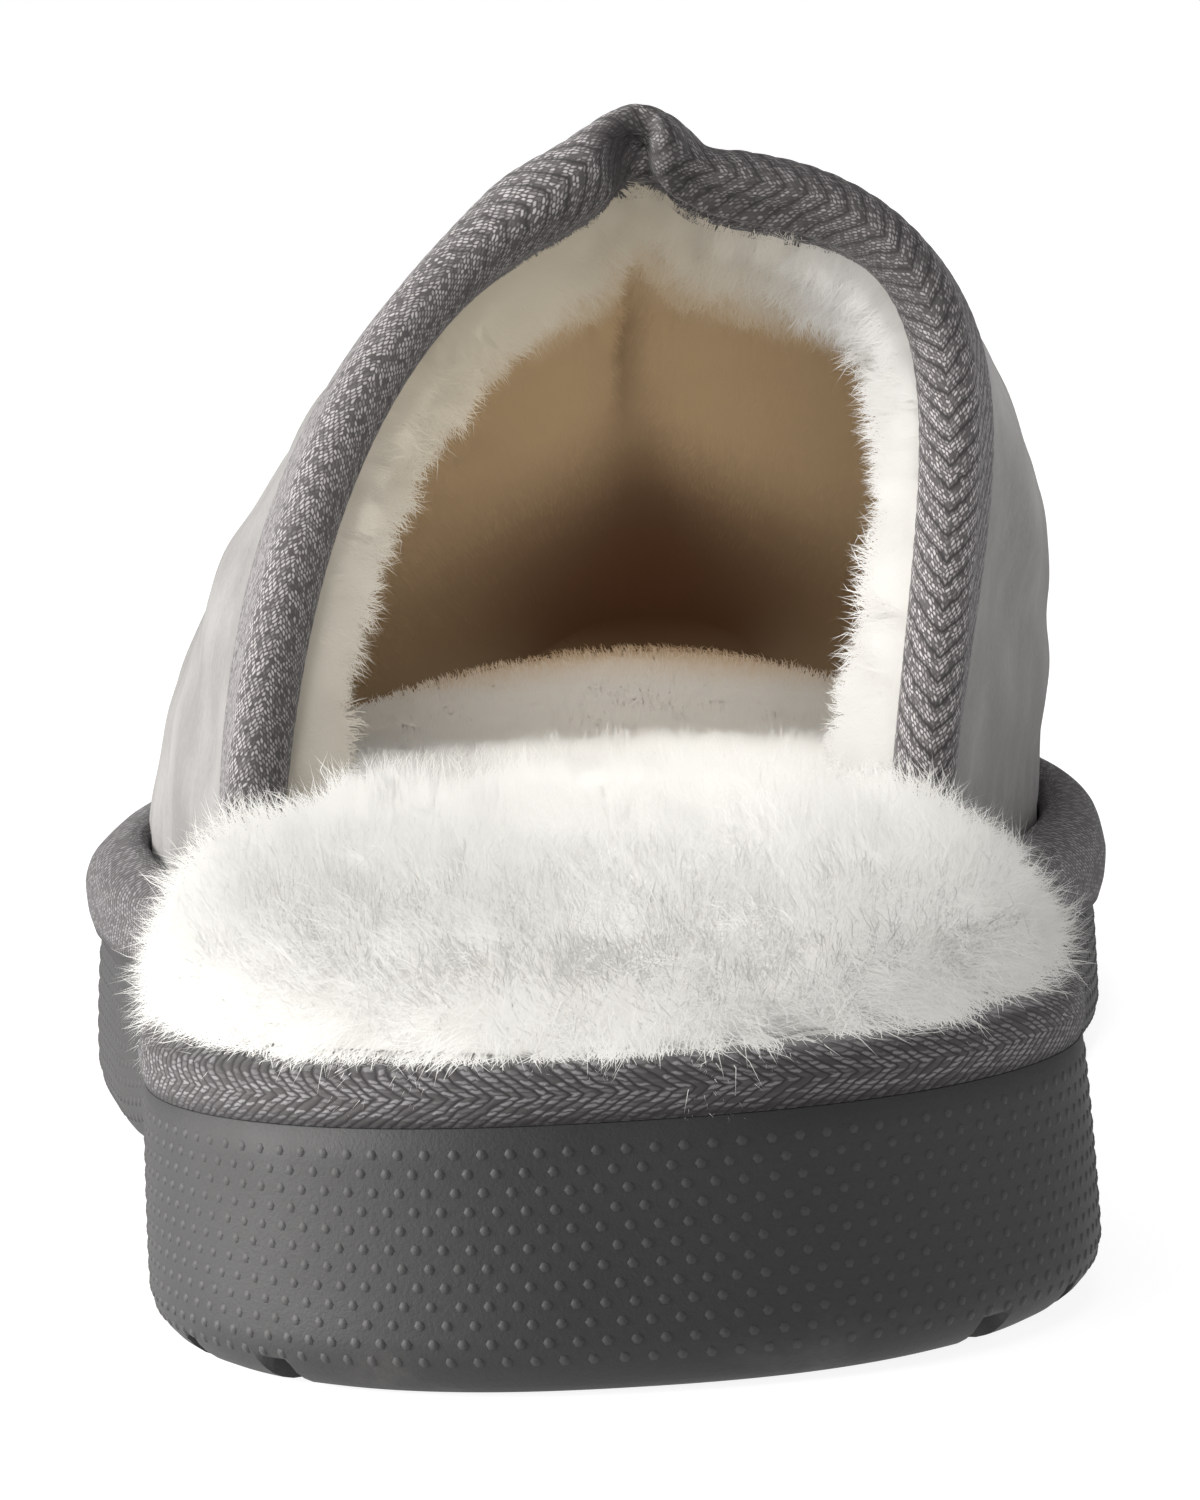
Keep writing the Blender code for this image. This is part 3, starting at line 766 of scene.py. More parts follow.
@dataclass(frozen=True)
class TapeFinish:
    """Herringbone tape of light and dark grey yarn."""

    name: str
    pitch: float
    slant: float
    yarns: float
    line: float = 0.9
    stray: float = 0.5
    plain: Span = (-0.032, -0.008)
    # gap: the dark of the weave's gaps, and the colour that the painted shade blends toward.
    gap: Triple = (0.024, 0.0215, 0.022)
    dark: Triple = (0.060, 0.055, 0.056)
    light: Triple = (0.335, 0.319, 0.319)

    def material(self) -> bpy.types.Material:
        """Builds the finish. The pieces carry their weave's directions under the name tape, and as its third value
        the share left free of painted shade.
        """
        material, graph, shader = new_material(self.name, self.dark)
        along, across, edge = graph.mark("tape")
        sizes = {"Pitch": self.pitch, "Slant": self.slant, "Yarns": self.yarns, "Stray": self.stray}
        weave = graph.group(EFFECTS.herringbone, Along=along, Across=across, **sizes)
        rib, fleck = weave.outputs["Rib"], weave.outputs["Fleck"]
        yarn = graph.mix(fleck, opaque(self.dark), opaque(self.light))
        seams = graph.ramp(rib, 0.05, 0.7, 1.0, 0.0)
        lines = graph.math("MULTIPLY", seams, graph.ramp(along, *self.plain, 0.12, 1.0))
        clear = graph.math("SUBTRACT", 1.0, graph.math("MULTIPLY", lines, self.line))
        # Painted shade: the third mark value darkens the yarn toward the gap colour.
        shade = graph.math("MULTIPLY", clear, graph.ramp(edge, 0.0, 1.0, 0.12, 1.0))
        graph.feed(shader.inputs["Base Color"], graph.mix(shade, opaque(self.gap), yarn))
        graph.feed(shader.inputs["Roughness"], graph.ramp(fleck, 0.0, 1.0, 0.9, 0.75))
        shader.inputs["Sheen Weight"].default_value = 0.1
        shader.inputs["Specular IOR Level"].default_value = 0.2
        bulge = graph.math("ADD", rib, graph.math("MULTIPLY", fleck, 0.7))
        add_bump(graph, shader, bulge, 0.5, 0.2 * MM)
        return material


@dataclass(frozen=True)
class FurFinish:
    """White fur that turns to cream at the roots. Painted shade takes it to warm cream where it lies in shade, and to
    tan and brown deeper inside the shoe, where little light reaches.
    """

    name: str
    # Where along Y the painted tan shade and the deeper brown shade start and end.
    tan_from: float
    tan_to: float
    deep_from: float
    deep_to: float
    tip: Triple = (0.70, 0.692, 0.663)
    root: Triple = (0.655, 0.637, 0.59)
    # cream, tan and deep are painted shade colours: warm shade, shade inside the shoe and deep shade far inside.
    cream: Triple = (0.60, 0.54, 0.435)
    tan: Triple = (0.60, 0.44, 0.27)
    deep: Triple = (0.10, 0.043, 0.016)

    def material(self) -> bpy.types.Material:
        """Builds the finish. The pieces carry root-to-tip and a random value under the name strand, and shares of
        painted shade under the name tone.
        """
        material, graph, shader = new_material(self.name, self.tip)
        along, chance, _ = graph.mark("strand")
        y = graph.node("SeparateXYZ", None, i0=graph.place()).outputs[1]
        fade = graph.ramp(along, 0.0, 0.75)
        varied = graph.math("ADD", fade, graph.math("MULTIPLY", graph.math("SUBTRACT", chance, 0.5), 0.2), clamp=True)
        # Painted shade: warm cream from the tone mark, tan and then brown deeper along Y, and brown in the seam's
        # shade.
        cream_shade, seam_shade, deep_shade_spared = graph.mark("tone")
        white = graph.mix(varied, opaque(self.root), opaque(self.tip))
        warm_shaded = graph.mix(cream_shade, white, opaque(self.cream))
        tan_shaded = graph.mix(graph.ramp(y, self.tan_from, self.tan_to), warm_shaded, opaque(self.tan))
        seam_shaded = graph.mix(graph.math("MULTIPLY", seam_shade, 0.85), tan_shaded, opaque(self.deep))
        kept = graph.math("SUBTRACT", 1.0, deep_shade_spared)
        depth = graph.math("MULTIPLY", graph.ramp(y, self.deep_from, self.deep_to), kept)
        deep_shaded = graph.mix(depth, seam_shaded, opaque(self.deep))
        graph.feed(shader.inputs["Base Color"], deep_shaded)
        facing = graph.node("Attribute", {"attribute_name": "facing", "attribute_type": "GEOMETRY"})
        graph.feed(shader.inputs["Normal"], facing.outputs["Vector"])
        material.cycles.use_bump_map_correction = False
        shader.inputs["Roughness"].default_value = 0.85
        shader.inputs["Specular IOR Level"].default_value = 0.15
        return material


@dataclass(frozen=True)
class FloorFinish:
    """Plain pale floor."""

    colour: Triple = (0.27, 0.27, 0.268)
    near_glow: Triple = (0.88, 0.88, 0.88)
    far_glow: Triple = (0.95, 0.95, 0.95)
    glow_from: float = 0.3
    glow_to: float = 1.5

    def material(self) -> bpy.types.Material:
        """Builds the finish, with a glow that makes up for the lamps' fall-off far from the slipper."""
        material, graph, shader = new_material("pale_floor", self.colour)
        away = graph.node("VectorMath", {"operation": "LENGTH"}, i0=graph.place()).outputs["Value"]
        far = graph.ramp(away, self.glow_from, self.glow_to)
        glow = graph.mix(far, opaque(self.near_glow), opaque(self.far_glow))
        graph.feed(shader.inputs["Emission Color"], glow)
        shader.inputs["Emission Strength"].default_value = 1.0
        shader.inputs["Roughness"].default_value = 0.9
        shader.inputs["Specular IOR Level"].default_value = 0.1
        return material


@dataclass
class Outsole:
    """The foam sole: wedge, rounded lower edge, cross grooves and a pin-dot side wall."""

    edge_radius: float = 5.6 * MM
    edge_steps: int = 9
    taper: float = 0.6 * MM
    taper_power: float = 1.5
    top_chamfer: float = 0.06 * MM
    wall_steps: int = 7
    ring_steps: int = 260
    lug_pitch: float = 12.0 * MM
    groove_width: float = 3.2 * MM
    groove_depth: float = 2.9 * MM
    groove_flank: float = 0.14
    grooved: tuple = ((0.045, 0.36), (0.56, 0.90))
    dot_rows: int = 16
    dot_spacing: float = 2.5 * MM
    dot_rise: float = 1.62 * MM
    dot_radius: float = 0.54 * MM
    dot_height: float = 0.15 * MM
    dot_sides: int = 6
    dots_under_edge: float = 2.1 * MM
    dot_walk: int = 4000
    dot_profile: tuple = ((1.0, -0.2), (0.68, 0.62))
    plain_strip: float = 0.95 * MM
    upward_step: float = 0.4 * MM
    skin_rise: float = 0.2 * MM
    skin_step: float = 0.02 * MM
    sharp_from: float = math.radians(60)
    dot_highlight_top: float = 0.85

    def groove_top(self, y: np.ndarray) -> np.ndarray:
        """Height that the underside is raised to at y, by the grooves."""
        raised = np.zeros_like(y)
        for start, end in self.grooved:
            count = round((end - start) * LAST.length / self.lug_pitch)
            for bar in range(count + 1):
                middle = LAST.place(start + (end - start) * bar / count)
                away = np.abs(y - middle) / self.groove_width
                raised = np.maximum(raised, self.groove_depth * np.clip((0.5 - away) / self.groove_flank, 0, 1))
        return raised

    def stations(self) -> np.ndarray:
        """Y of the rows from heel to toe, close together at the ends and at the grooves' corners."""
        y = -np.cos(np.linspace(0, math.pi, self.ring_steps + 1)) * LAST.length / 2
        corners = []
        for start, end in self.grooved:
            count = round((end - start) * LAST.length / self.lug_pitch)
            middles = LAST.place(start + (end - start) * np.arange(count + 1) / count)
            flat = 0.5 - self.groove_flank
            corners += [middles + share * self.groove_width for share in (-0.5, -flat, flat, 0.5)]
        return np.unique(np.round(np.concatenate([y, *corners]), 6))

    def wall(self, share: np.ndarray, y: np.ndarray, side: np.ndarray) -> np.ndarray:
        """Points of the side wall between the rounded edge, share 0, and the chamfer, share 1."""
        low = LAST.height("ground", y) + self.edge_radius
        high = LAST.height("joint", y) - self.top_chamfer
        return LAST.ring(y, side, -self.taper * share**self.taper_power, low + (high - low) * share)

    def build(self) -> list[bpy.types.Object]:
        """Makes the sole in place of its solid."""
        y = self.stations()
        count = len(y)
        rows_y = np.concatenate((y, y[-2:0:-1]))
        side = np.concatenate((np.full(count, 1), np.full(count - 2, -1)))
        ground = LAST.height("ground", rows_y)
        cut = self.groove_top(rows_y)
        rings = []
        for turn in np.linspace(0, math.pi / 2, self.edge_steps):
            rise = np.maximum(self.edge_radius * (1 - math.cos(turn)), cut)
            rings.append(LAST.ring(rows_y, side, -self.edge_radius * (1 - math.sin(turn)), ground + rise))
        for share in np.linspace(0, 1, self.wall_steps)[1:]:
            rings.append(self.wall(np.full(len(rows_y), share), rows_y, side))
        rings.append(LAST.ring(rows_y, side, -self.taper - self.top_chamfer, LAST.height("joint", rows_y)))
        around = len(rows_y)
        points = np.concatenate(rings)
        faces = grid_faces(len(rings), around, closed=True)
        step = np.arange(count - 1)
        back = (around - step) % around
        under = np.stack((step, back, (back - 1) % around, step + 1), 1)
        over = np.stack((step, step + 1, (back - 1) % around, back), 1) + (len(rings) - 1) * around
        ends = under[[0, -1]], over[[0, -1]]
        middle = np.concatenate((under[1:-1], over[1:-1]))
        tips = np.concatenate([self.triangle(face) for pair in ends for face in pair])
        dot_points, dot_faces = self.dots(len(points))
        # The raised mark carries the painted highlight, rising to full at each dot's top.
        raised = np.zeros((len(points) + len(dot_points), 3))
        one_dot = np.append(np.repeat(np.linspace(0.0, self.dot_highlight_top, len(self.dot_profile)), self.dot_sides), 1.0)
        raised[len(points) :, 0] = np.tile(one_dot, len(dot_points) // len(one_dot))
        sole = make_piece(
            "sole_unit",
            np.concatenate((points, dot_points)),
            [faces, middle, tips, dot_faces],
            SoleFinish().material(),
            {"raised": raised},
        )
        sole.data.set_sharp_from_angle(angle=self.sharp_from)
        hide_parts("outsole")
        return [sole]

    @staticmethod
    def triangle(face: np.ndarray) -> np.ndarray:
        """The triangle that is left of a quad with two corners in one place."""
        return np.array([list(dict.fromkeys(face.tolist()))])

    def dots(self, first: int) -> tuple[np.ndarray, np.ndarray]:
        """Low round dots in staggered rows on the side wall.

        Args:
            first: Number of the first point.

        Returns:
            Points and triangles.
        """
        walk_y, walk_side, travel = LAST.walk(self.dot_walk, 0.0)
        total = travel[-1] + travel[1]
        columns = int(total / self.dot_spacing)
        lowest = self.edge_radius - self.dots_under_edge
        places = []
        for row in range(self.dot_rows):
            along = (np.arange(columns) + 0.5 * (row % 2)) / columns * total
            at = np.interp(along, travel, np.arange(len(travel)))
            index = np.clip(np.round(at).astype(int), 0, len(travel) - 1)
            y, side = walk_y[index], walk_side[index]
            rise = lowest + row * self.dot_rise
            room = LAST.height("joint", y) - LAST.height("ground", y) - self.plain_strip
            keep = rise < room
            places.append(np.stack((y[keep], side[keep], np.full(keep.sum(), rise)), 1))
        y, side, rise = np.concatenate(places).T
        centre, outward = self.skin(y, side, rise)
        upward = unit(self.skin(y, side, rise + self.upward_step)[0] - centre)
        across = np.cross(upward, outward)
        turns = np.linspace(0, 2 * math.pi, self.dot_sides, endpoint=False)
        rings = []
        for spread, lift in self.dot_profile:
            for turn in turns:
                arm = across * math.cos(turn) + upward * math.sin(turn)
                rings.append(centre + arm * self.dot_radius * spread + outward * self.dot_height * lift)
        rings.append(centre + outward * self.dot_height)
        each = len(rings)
        points = np.stack(rings, 1).reshape(-1, 3)
        side = grid_faces(len(self.dot_profile), self.dot_sides, closed=True)
        near = np.arange(self.dot_sides) + each - 1 - self.dot_sides
        top = np.stack((near, np.roll(near, -1), np.full(self.dot_sides, each - 1)), 1)
        one = np.concatenate((side[:, [0, 1, 2]], side[:, [0, 2, 3]], top))
        starts = first + each * np.arange(len(centre))
        return points, (starts[:, None, None] + one[None]).reshape(-1, 3)

    def skin(self, y: np.ndarray, side: np.ndarray, rise: np.ndarray) -> tuple[np.ndarray, np.ndarray]:
        """Point and outward normal of the wall at a rise above the ground line."""

        def at(y_here: np.ndarray, rise_here: np.ndarray) -> np.ndarray:
            """Points of the wall and its rounded edge at y and a rise."""
            ground = LAST.height("ground", y_here)
            low = ground + self.edge_radius
            high = LAST.height("joint", y_here) - self.top_chamfer
            z = ground + rise_here
            share = np.clip((z - low) / (high - low), 0, 1)
            under = np.clip(1 - rise_here / self.edge_radius, 0, 1)
            inset = self.edge_radius * (1 - np.sqrt(1 - under**2)) + self.taper * share**self.taper_power
            return LAST.ring(y_here, side, -inset, z)

        here = at(y, rise)
        up = at(y, rise + self.skin_rise) - here
        toward = np.where(y > 0, -self.skin_step, self.skin_step)
        along = (at(y + toward, rise) - here) * np.sign(toward)[:, None]
        normal = unit(np.cross(along, up))
        outside = np.sign((normal[:, 0] * (here[:, 0] - LAST.centre(here[:, 1])) + normal[:, 1] * here[:, 1] * 0.2))
        return here, normal * outside[:, None]


@dataclass(frozen=True)
class Weave:
    """Herringbone ribs as relief: pitch along the tape, slant of the ribs and height of a rib."""

    pitch: float
    slant: float
    height: float
    roundness: float = 0.75
    mean: float = 0.6

    def relief(self, along: np.ndarray, across: np.ndarray) -> np.ndarray:
        """Height over the tape's middle layer at places along and across its spine."""
        phase = (along + self.slant * np.abs(across)) / self.pitch
        return self.height * (np.abs(np.sin(math.pi * phase)) ** self.roundness - self.mean)


@dataclass
class PlatformTape:
    """Tape that binds the platform's edge: low at the heel, a fuller roll round the forefoot."""

    steps: int = 1750
    section: tuple = (
        ProfileRow(0.00, -0.66, 0.1),
        ProfileRow(0.25, -0.35, 0.8),
        ProfileRow(0.50, -0.25, 1.0),
        ProfileRow(0.72, -0.45, 0.4),
        ProfileRow(0.90, -1.1, -1.3),
        ProfileRow(1.00, -2.4, -3.8),
    )
    section_steps: int = 20
    face_ring: int = 5
    seat: float = 0.04 * MM
    reach_heel: float = 9.3 * MM
    reach_forefoot: float = 6.0 * MM
    narrows_before: float = 14 * MM
    inner_chamfer: float = 0.8 * MM
    full_from: float = 0.30
    full_to: float = 0.62
    spine: float = 0.52
    top_parts: Triple = (0.35, 0.7, 1.0)
    foot_shade: float = 1.5 * MM
    weave: Weave = Weave(1.35 * MM, 1.7, 0.02 * MM)

    def reach_in(self, y: np.ndarray) -> np.ndarray:
        """How far the tape reaches in from the outline: less where the upper stands beside it."""
        end = LAST.place(LAST.collar_end)
        part = blend(y, end - 2 * self.narrows_before, end - self.narrows_before)
        return self.reach_heel + part * (self.reach_forefoot - self.reach_heel)

    def build(self) -> list[bpy.types.Object]:
        """Makes the tape in place of its solid."""
        y, side, travel = LAST.walk(self.steps, LAST.band_stand_out)
        full = blend(LAST.share(y), self.full_from, self.full_to)
        foot = LAST.height("joint", y) + self.seat
        tall = LAST.height("band_top", y) - foot
        rows = Table(self.section)
        rings, across = [], []
        for share in np.linspace(0, 1, self.section_steps):
            rings.append(LAST.ring(y, side, self.stand_out(rows, share, full), foot + share * tall))
            across.append((share - self.spine) * tall)
        inner = -self.reach_in(y)
        top = LAST.height("band_top", y)
        edge = self.stand_out(rows, 1.0, full)
        for part in self.top_parts:
            inset = edge + part * (inner + self.inner_chamfer - edge)
            rings.append(LAST.ring(y, side, inset, top))
            across.append((1 - self.spine) * tall + np.abs(inset - edge))
        rings.append(LAST.ring(y, side, inner, top - self.inner_chamfer))
        rings.append(LAST.ring(y, side, inner, foot))
        across += [across[-1] + self.inner_chamfer, across[-1] + tall]
        grid = np.stack(rings)
        across_grid = np.stack(across)
        along_grid = np.broadcast_to(travel, across_grid.shape)
        normals = self.outward(grid)
        shown = np.ones(len(rings))
        shown[[0, -1, -2]] = 0.0
        pitch_count = round((travel[-1] + travel[1]) / self.weave.pitch)
        fitted = Weave((travel[-1] + travel[1]) / pitch_count, self.weave.slant, self.weave.height)
        relief = fitted.relief(along_grid, across_grid) * shown[:, None]
        points = (grid + normals * relief[..., None]).reshape(-1, 3)
        faces = np.concatenate((grid_faces(len(rings), self.steps, closed=True), self.closing(len(rings))))
        scaled = along_grid * self.weave.pitch / fitted.pitch
        # Painted shade at the tape's foot, where it meets the sole: from_foot runs from 0 there to 1 at foot_shade
        # above it.
        from_foot = np.minimum(across_grid + self.spine * tall, self.foot_shade) / self.foot_shade
        marks = {"tape": np.stack((scaled, across_grid, from_foot), -1).reshape(-1, 3)}
        finish = TapeFinish(
            "platform_herringbone",
            self.weave.pitch,
            self.weave.slant,
            yarns=1.0,
            line=0.7,
            stray=1.1,
            plain=(-2.0, -1.0),
            light=(0.185, 0.178, 0.182),
        )
        tape = make_piece("platform_tape", points, [faces], finish.material(), marks)
        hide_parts("edge_band")
        return [tape]

    @staticmethod
    def stand_out(rows: Table, share: float, full: np.ndarray) -> np.ndarray:
        """How far the section stands out at a share of its height, from heel to forefoot."""
        heel, forefoot = (rows.at(name, np.array([share]))[0] for name in ("heel", "forefoot"))
        return (heel + full * (forefoot - heel)) * MM

    def closing(self, rings: int) -> np.ndarray:
        """Faces between the last ring and the first."""
        step = np.arange(self.steps)
        after = (step + 1) % self.steps
        last = (rings - 1) * self.steps
        return np.stack((last + step, last + after, after, step), 1)

    def outward(self, grid: np.ndarray) -> np.ndarray:
        """Normals of the tape's face, away from its core."""
        wrapped = np.concatenate((grid[:, -1:], grid, grid[:, :1]), 1)
        normals = grid_normals(wrapped)[:, 1:-1]
        core = grid[: self.section_steps].mean(0, keepdims=True)
        face = np.s_[self.face_ring : self.face_ring + 1]
        facing = np.sign(((grid[face] - core) * normals[face]).sum(-1, keepdims=True))
        return normals * facing


@dataclass
class Pile:
    """Fur strands planted on a surface, drawn together in tufts."""

    count: int
    tufts: int
    length: float
    width: float
    seed: int
    stray: float = 0.35
    gather: float = 0.45
    swing: float = 0.6
    curl: float = 0.25
    turned_to: Triple = (-0.36, -0.50, 0.22)
    turn_chance: float = 0.22
    tuft_lengths: Span = (0.8, 1.12)
    strand_lengths: Span = (0.72, 1.1)
    widths: Span = (0.7, 1.25)
    least_rise: float = 0.25
    bow: float = 0.35
    middle_at: float = 0.55
    middle_lift: float = 0.10
    root_depth: float = 0.6 * MM
    soft_shares: tuple[float, ...] = (0.93, 0.07, 0.08, 0.03)
    fade: tuple[float, ...] = (0.2, 0.6, 0.6, 1.0)

    def plant(
        self,
        points: np.ndarray,
        faces: np.ndarray,
        calm: np.ndarray,
        flow: np.ndarray,
        reach: np.ndarray,
        weight: np.ndarray,
        tone: np.ndarray,
    ) -> tuple[np.ndarray, np.ndarray, dict[str, np.ndarray]]:
        """Strands over a surface.

        Args:
            points: Points of the surface.
            faces: Its quads.
            calm: Normals of the surface without its lumps, one a point.
            flow: Direction that the fur is combed in, one a point, added to the normal.
            reach: Share of the full length, one a point.
            weight: How thickly the fur grows, one a point.
            tone: Shares of painted shade, three a point: warm cream, seam shade and how far the deep shade is spared.

        Returns:
            Points, triangles and marks of the strands.
        """
        draw = np.random.default_rng(self.seed)
        carried = np.concatenate((calm, flow, reach[:, None], tone), 1)
        tufts, _, _ = self.scatter(points, faces, carried, weight, self.tufts, draw)
        roots, normals, values = self.scatter(points, faces, carried, weight, self.count, draw)
        calms, ways, reaches = unit(values[:, :3]), values[:, 3:6], values[:, 6]
        tree = KDTree(len(tufts))
        for number, tuft in enumerate(tufts):
            tree.insert(tuft, number)
        tree.balance()
        nearest = np.array([tree.find(root)[1] for root in roots])
        swing = draw.normal(size=(len(tufts), 3)) * self.swing
        tuft_length = draw.uniform(*self.tuft_lengths, len(tufts))
        level = unit(normals)
        way = unit(level + ways + swing[nearest] + draw.normal(size=level.shape) * self.stray)
        inward = (way * level).sum(-1, keepdims=True)
        way = unit(way + level * np.maximum(self.least_rise - inward, 0.0))
        length = self.length * reaches * tuft_length[nearest] * draw.uniform(*self.strand_lengths, len(roots))
        to_tuft = tufts[nearest] - roots
        tip = roots + way * length[:, None] + to_tuft * self.gather * reaches[:, None] ** 2
        bow = draw.normal(size=way.shape) * self.curl * length[:, None] * self.bow
        middle = roots + (tip - roots) * self.middle_at + bow + level * (self.middle_lift * length)[:, None]
        turned = calms + self.turned_to + draw.normal(size=way.shape) * self.turn_chance
        side = unit(np.cross(tip - roots, turned))
        thick = self.width * draw.uniform(*self.widths, len(roots))[:, None]
        sunk = roots - level * self.root_depth
        strand = np.stack((sunk, middle + side * thick * 0.5, middle - side * thick * 0.5, tip), 1)
        first = 4 * np.arange(len(roots))[:, None]
        triangles = np.concatenate((first + np.array([[0, 1, 2]]), first + np.array([[2, 1, 3]])), 0)
        by_calm, by_level, by_way, by_chance = self.soft_shares
        soft = calms * by_calm + level * by_level + way * by_way + draw.normal(size=way.shape) * by_chance
        shade = np.repeat(unit(soft)[:, None], 4, 1).reshape(-1, 3)
        tones = np.repeat(values[:, None, 7:], 4, 1).reshape(-1, 3)
        along = np.broadcast_to(np.array(self.fade), (len(roots), 4))
        chance = np.repeat(draw.uniform(size=len(roots))[:, None], 4, 1)
        marks = np.stack((along, chance, chance * 0), -1).reshape(-1, 3)
        return strand.reshape(-1, 3), triangles, {"strand": marks, "facing": shade, "tone": tones}

    def scatter(
        self,
        points: np.ndarray,
        faces: np.ndarray,
        carried: np.ndarray,
        weight: np.ndarray,
        count: int,
        draw: np.random.Generator,
    ) -> tuple[np.ndarray, np.ndarray, np.ndarray]:
        """Random places on a surface, even by area and weight: place, normal and carried values of each."""
        triangles = np.concatenate((faces[:, [0, 1, 2]], faces[:, [0, 2, 3]]))
        a, b, c = (points[triangles[:, corner]] for corner in range(3))
        cross = np.cross(b - a, c - a)
        area = np.linalg.norm(cross, axis=1) * weight[triangles].mean(1)
        chosen = draw.choice(len(triangles), count, p=area / area.sum())
        u, v = draw.uniform(size=(2, count))
        over = u + v > 1
        u, v = np.where(over, 1 - u, u), np.where(over, 1 - v, v)
        shares = np.stack((1 - u - v, u, v), 1)[:, :, None]
        corner = triangles[chosen]
        return (points[corner] * shares).sum(1), unit(cross[chosen]), (carried[corner] * shares).sum(1)


@dataclass
class Footbed:
    """Deep fur footbed: a tufted pad and the strands that stand on it."""

    rows: tuple = (
        PileRow(0.00, 9.6, 15.2, -0.30),
        PileRow(0.12, 7.0, 15.6, -0.06),
        PileRow(0.28, 5.8, 15.8, 0.08),
        PileRow(0.45, 7.2, 16.6, 0.46),
        PileRow(0.64, 11.5, 19.5, 0.68),
        PileRow(0.82, 22.0, 27.0, 0.76),
        PileRow(1.00, 40.0, 40.0, 0.78),
    )
    ring_steps: int = 150
    rise_steps: int = 22
    foot_inset: float = 9.6 * MM
    narrows_before: float = 9 * MM
    narrows_over: float = 9 * MM
    lump: float = 1.0 * MM
    lumps: tuple = (LumpRow(13, 5, 0.8), LumpRow(6, 6, 0.25))
    lumps_end: Span = (-30 * MM, 0.0)
    shape_shown: float = 0.22
    lean_in: float = 0.08
    lean_in_over: float = 40 * MM
    lean_back: float = 0.12
    lean_back_inside: float = 1.1
    leans_back: Span = (-40 * MM, 10 * MM)
    heel_centre: float = 46 * MM
    heel_round: Span = (93 * MM, 132 * MM)
    heel_open: Span = (-60 * MM, -30 * MM)
    spread: float = 0.25
    spread_heel: float = 0.30
    combed_back: float = 0.20
    droop: float = 0.30
    droop_low: float = 1.5
    low_rim: Span = (0.5 * MM, 4 * MM)
    shorter: tuple = (FadeRow(-45, -20, 0.25), FadeRow(0, 60, 0.55))
    thinner: tuple = (FadeRow(-10, 30, 0.50), FadeRow(75, 110, 0.30))
    thicker_rim: float = 0.8
    strands: int = 96000
    # Painted shade: the fur turns tan and then dark brown deep under the upper, where little light reaches.
    finish: FurFinish = FurFinish("footbed_fur", 82 * MM, 120 * MM, 100 * MM, 134 * MM)

    def inset(self, table: Table, place: float, y: np.ndarray) -> np.ndarray:
        """Inset of a ring: the pad overhangs the tape at the heel and narrows to go into the upper."""
        end = LAST.place(LAST.collar_end) - self.narrows_before
        part = blend(y, end - self.narrows_over, end)
        heel = table.at("heel_inset", np.array([place]))[0]
        forefoot = table.at("forefoot_inset", np.array([place]))[0]
        return (heel + part * (forefoot - heel)) * MM

    def build(self) -> list[bpy.types.Object]:
        """Makes the pad in place of its solid, and its strands."""
        plain = -np.cos(np.linspace(0, math.pi, self.ring_steps + 1)) * LAST.length / 2
        y = np.concatenate((plain, plain[-2:0:-1]))
        side = np.concatenate((np.full(len(plain), 1), np.full(len(plain) - 2, -1)))
        table = Table(self.rows)
        base, top = LAST.height("band_top", y), LAST.height("fur_top", y)
        rings = [LAST.ring(y, side, -self.foot_inset, LAST.height("joint", y) + LAST.gap)]
        for place in np.linspace(0, 1, self.rise_steps):
            rise = table.at("rise", np.array([place]))[0]
            rings.append(LAST.ring(y, side, -self.inset(table, place, y), base + rise * (top - base)))
        grid = np.stack(rings)
        wrapped = np.concatenate((grid[:, -1:], grid, grid[:, :1]), 1)
        normals = grid_normals(wrapped)[:, 1:-1]
        normals[-1] = (0, 0, 1)
        inward = -self.lean_in * (grid[..., 0] - LAST.centre(grid[..., 1])) / self.lean_in_over
        back = -self.lean_back - self.lean_back_inside * blend(y, *self.leans_back)
        lean = np.stack((inward, np.broadcast_to(back, inward.shape), np.ones_like(inward)), -1)
        calm = unit(normals * self.shape_shown + lean * (1 - self.shape_shown)).reshape(-1, 3)
        fade = np.linspace(0, 1, len(rings))[:, None] ** 0.5 * (1 - blend(y, *self.lumps_end))
        grid = grid + normals * (lumpy(grid, self.lumps) * fade * self.lump)[..., None]
        around = len(y)
        points = grid.reshape(-1, 3)
        faces = grid_faces(len(rings), around, closed=True)
        step = np.arange(1, self.ring_steps - 1)
        across = (around - step) % around
        ladder = np.stack((step, step + 1, across - 1, across), 1)
        over = ladder + (len(rings) - 1) * around
        ends = np.array([[0, 1, around - 1], [self.ring_steps - 1, self.ring_steps, self.ring_steps + 1]])
        top_ends = ends + (len(rings) - 1) * around
        material = self.finish.material()
        pad = make_piece(
            "footbed_pad",
            points,
            [faces, over, ladder[:, ::-1], top_ends, ends[:, ::-1]],
            material,
            {"strand": np.tile(SKIN_MARK, (len(points), 1)), "facing": calm, "tone": 0 * calm},
        )
        pad.visible_shadow = False
        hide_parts("insole")
        return [pad, *self.fur(points, np.concatenate((faces[around:], over)), calm, material)]

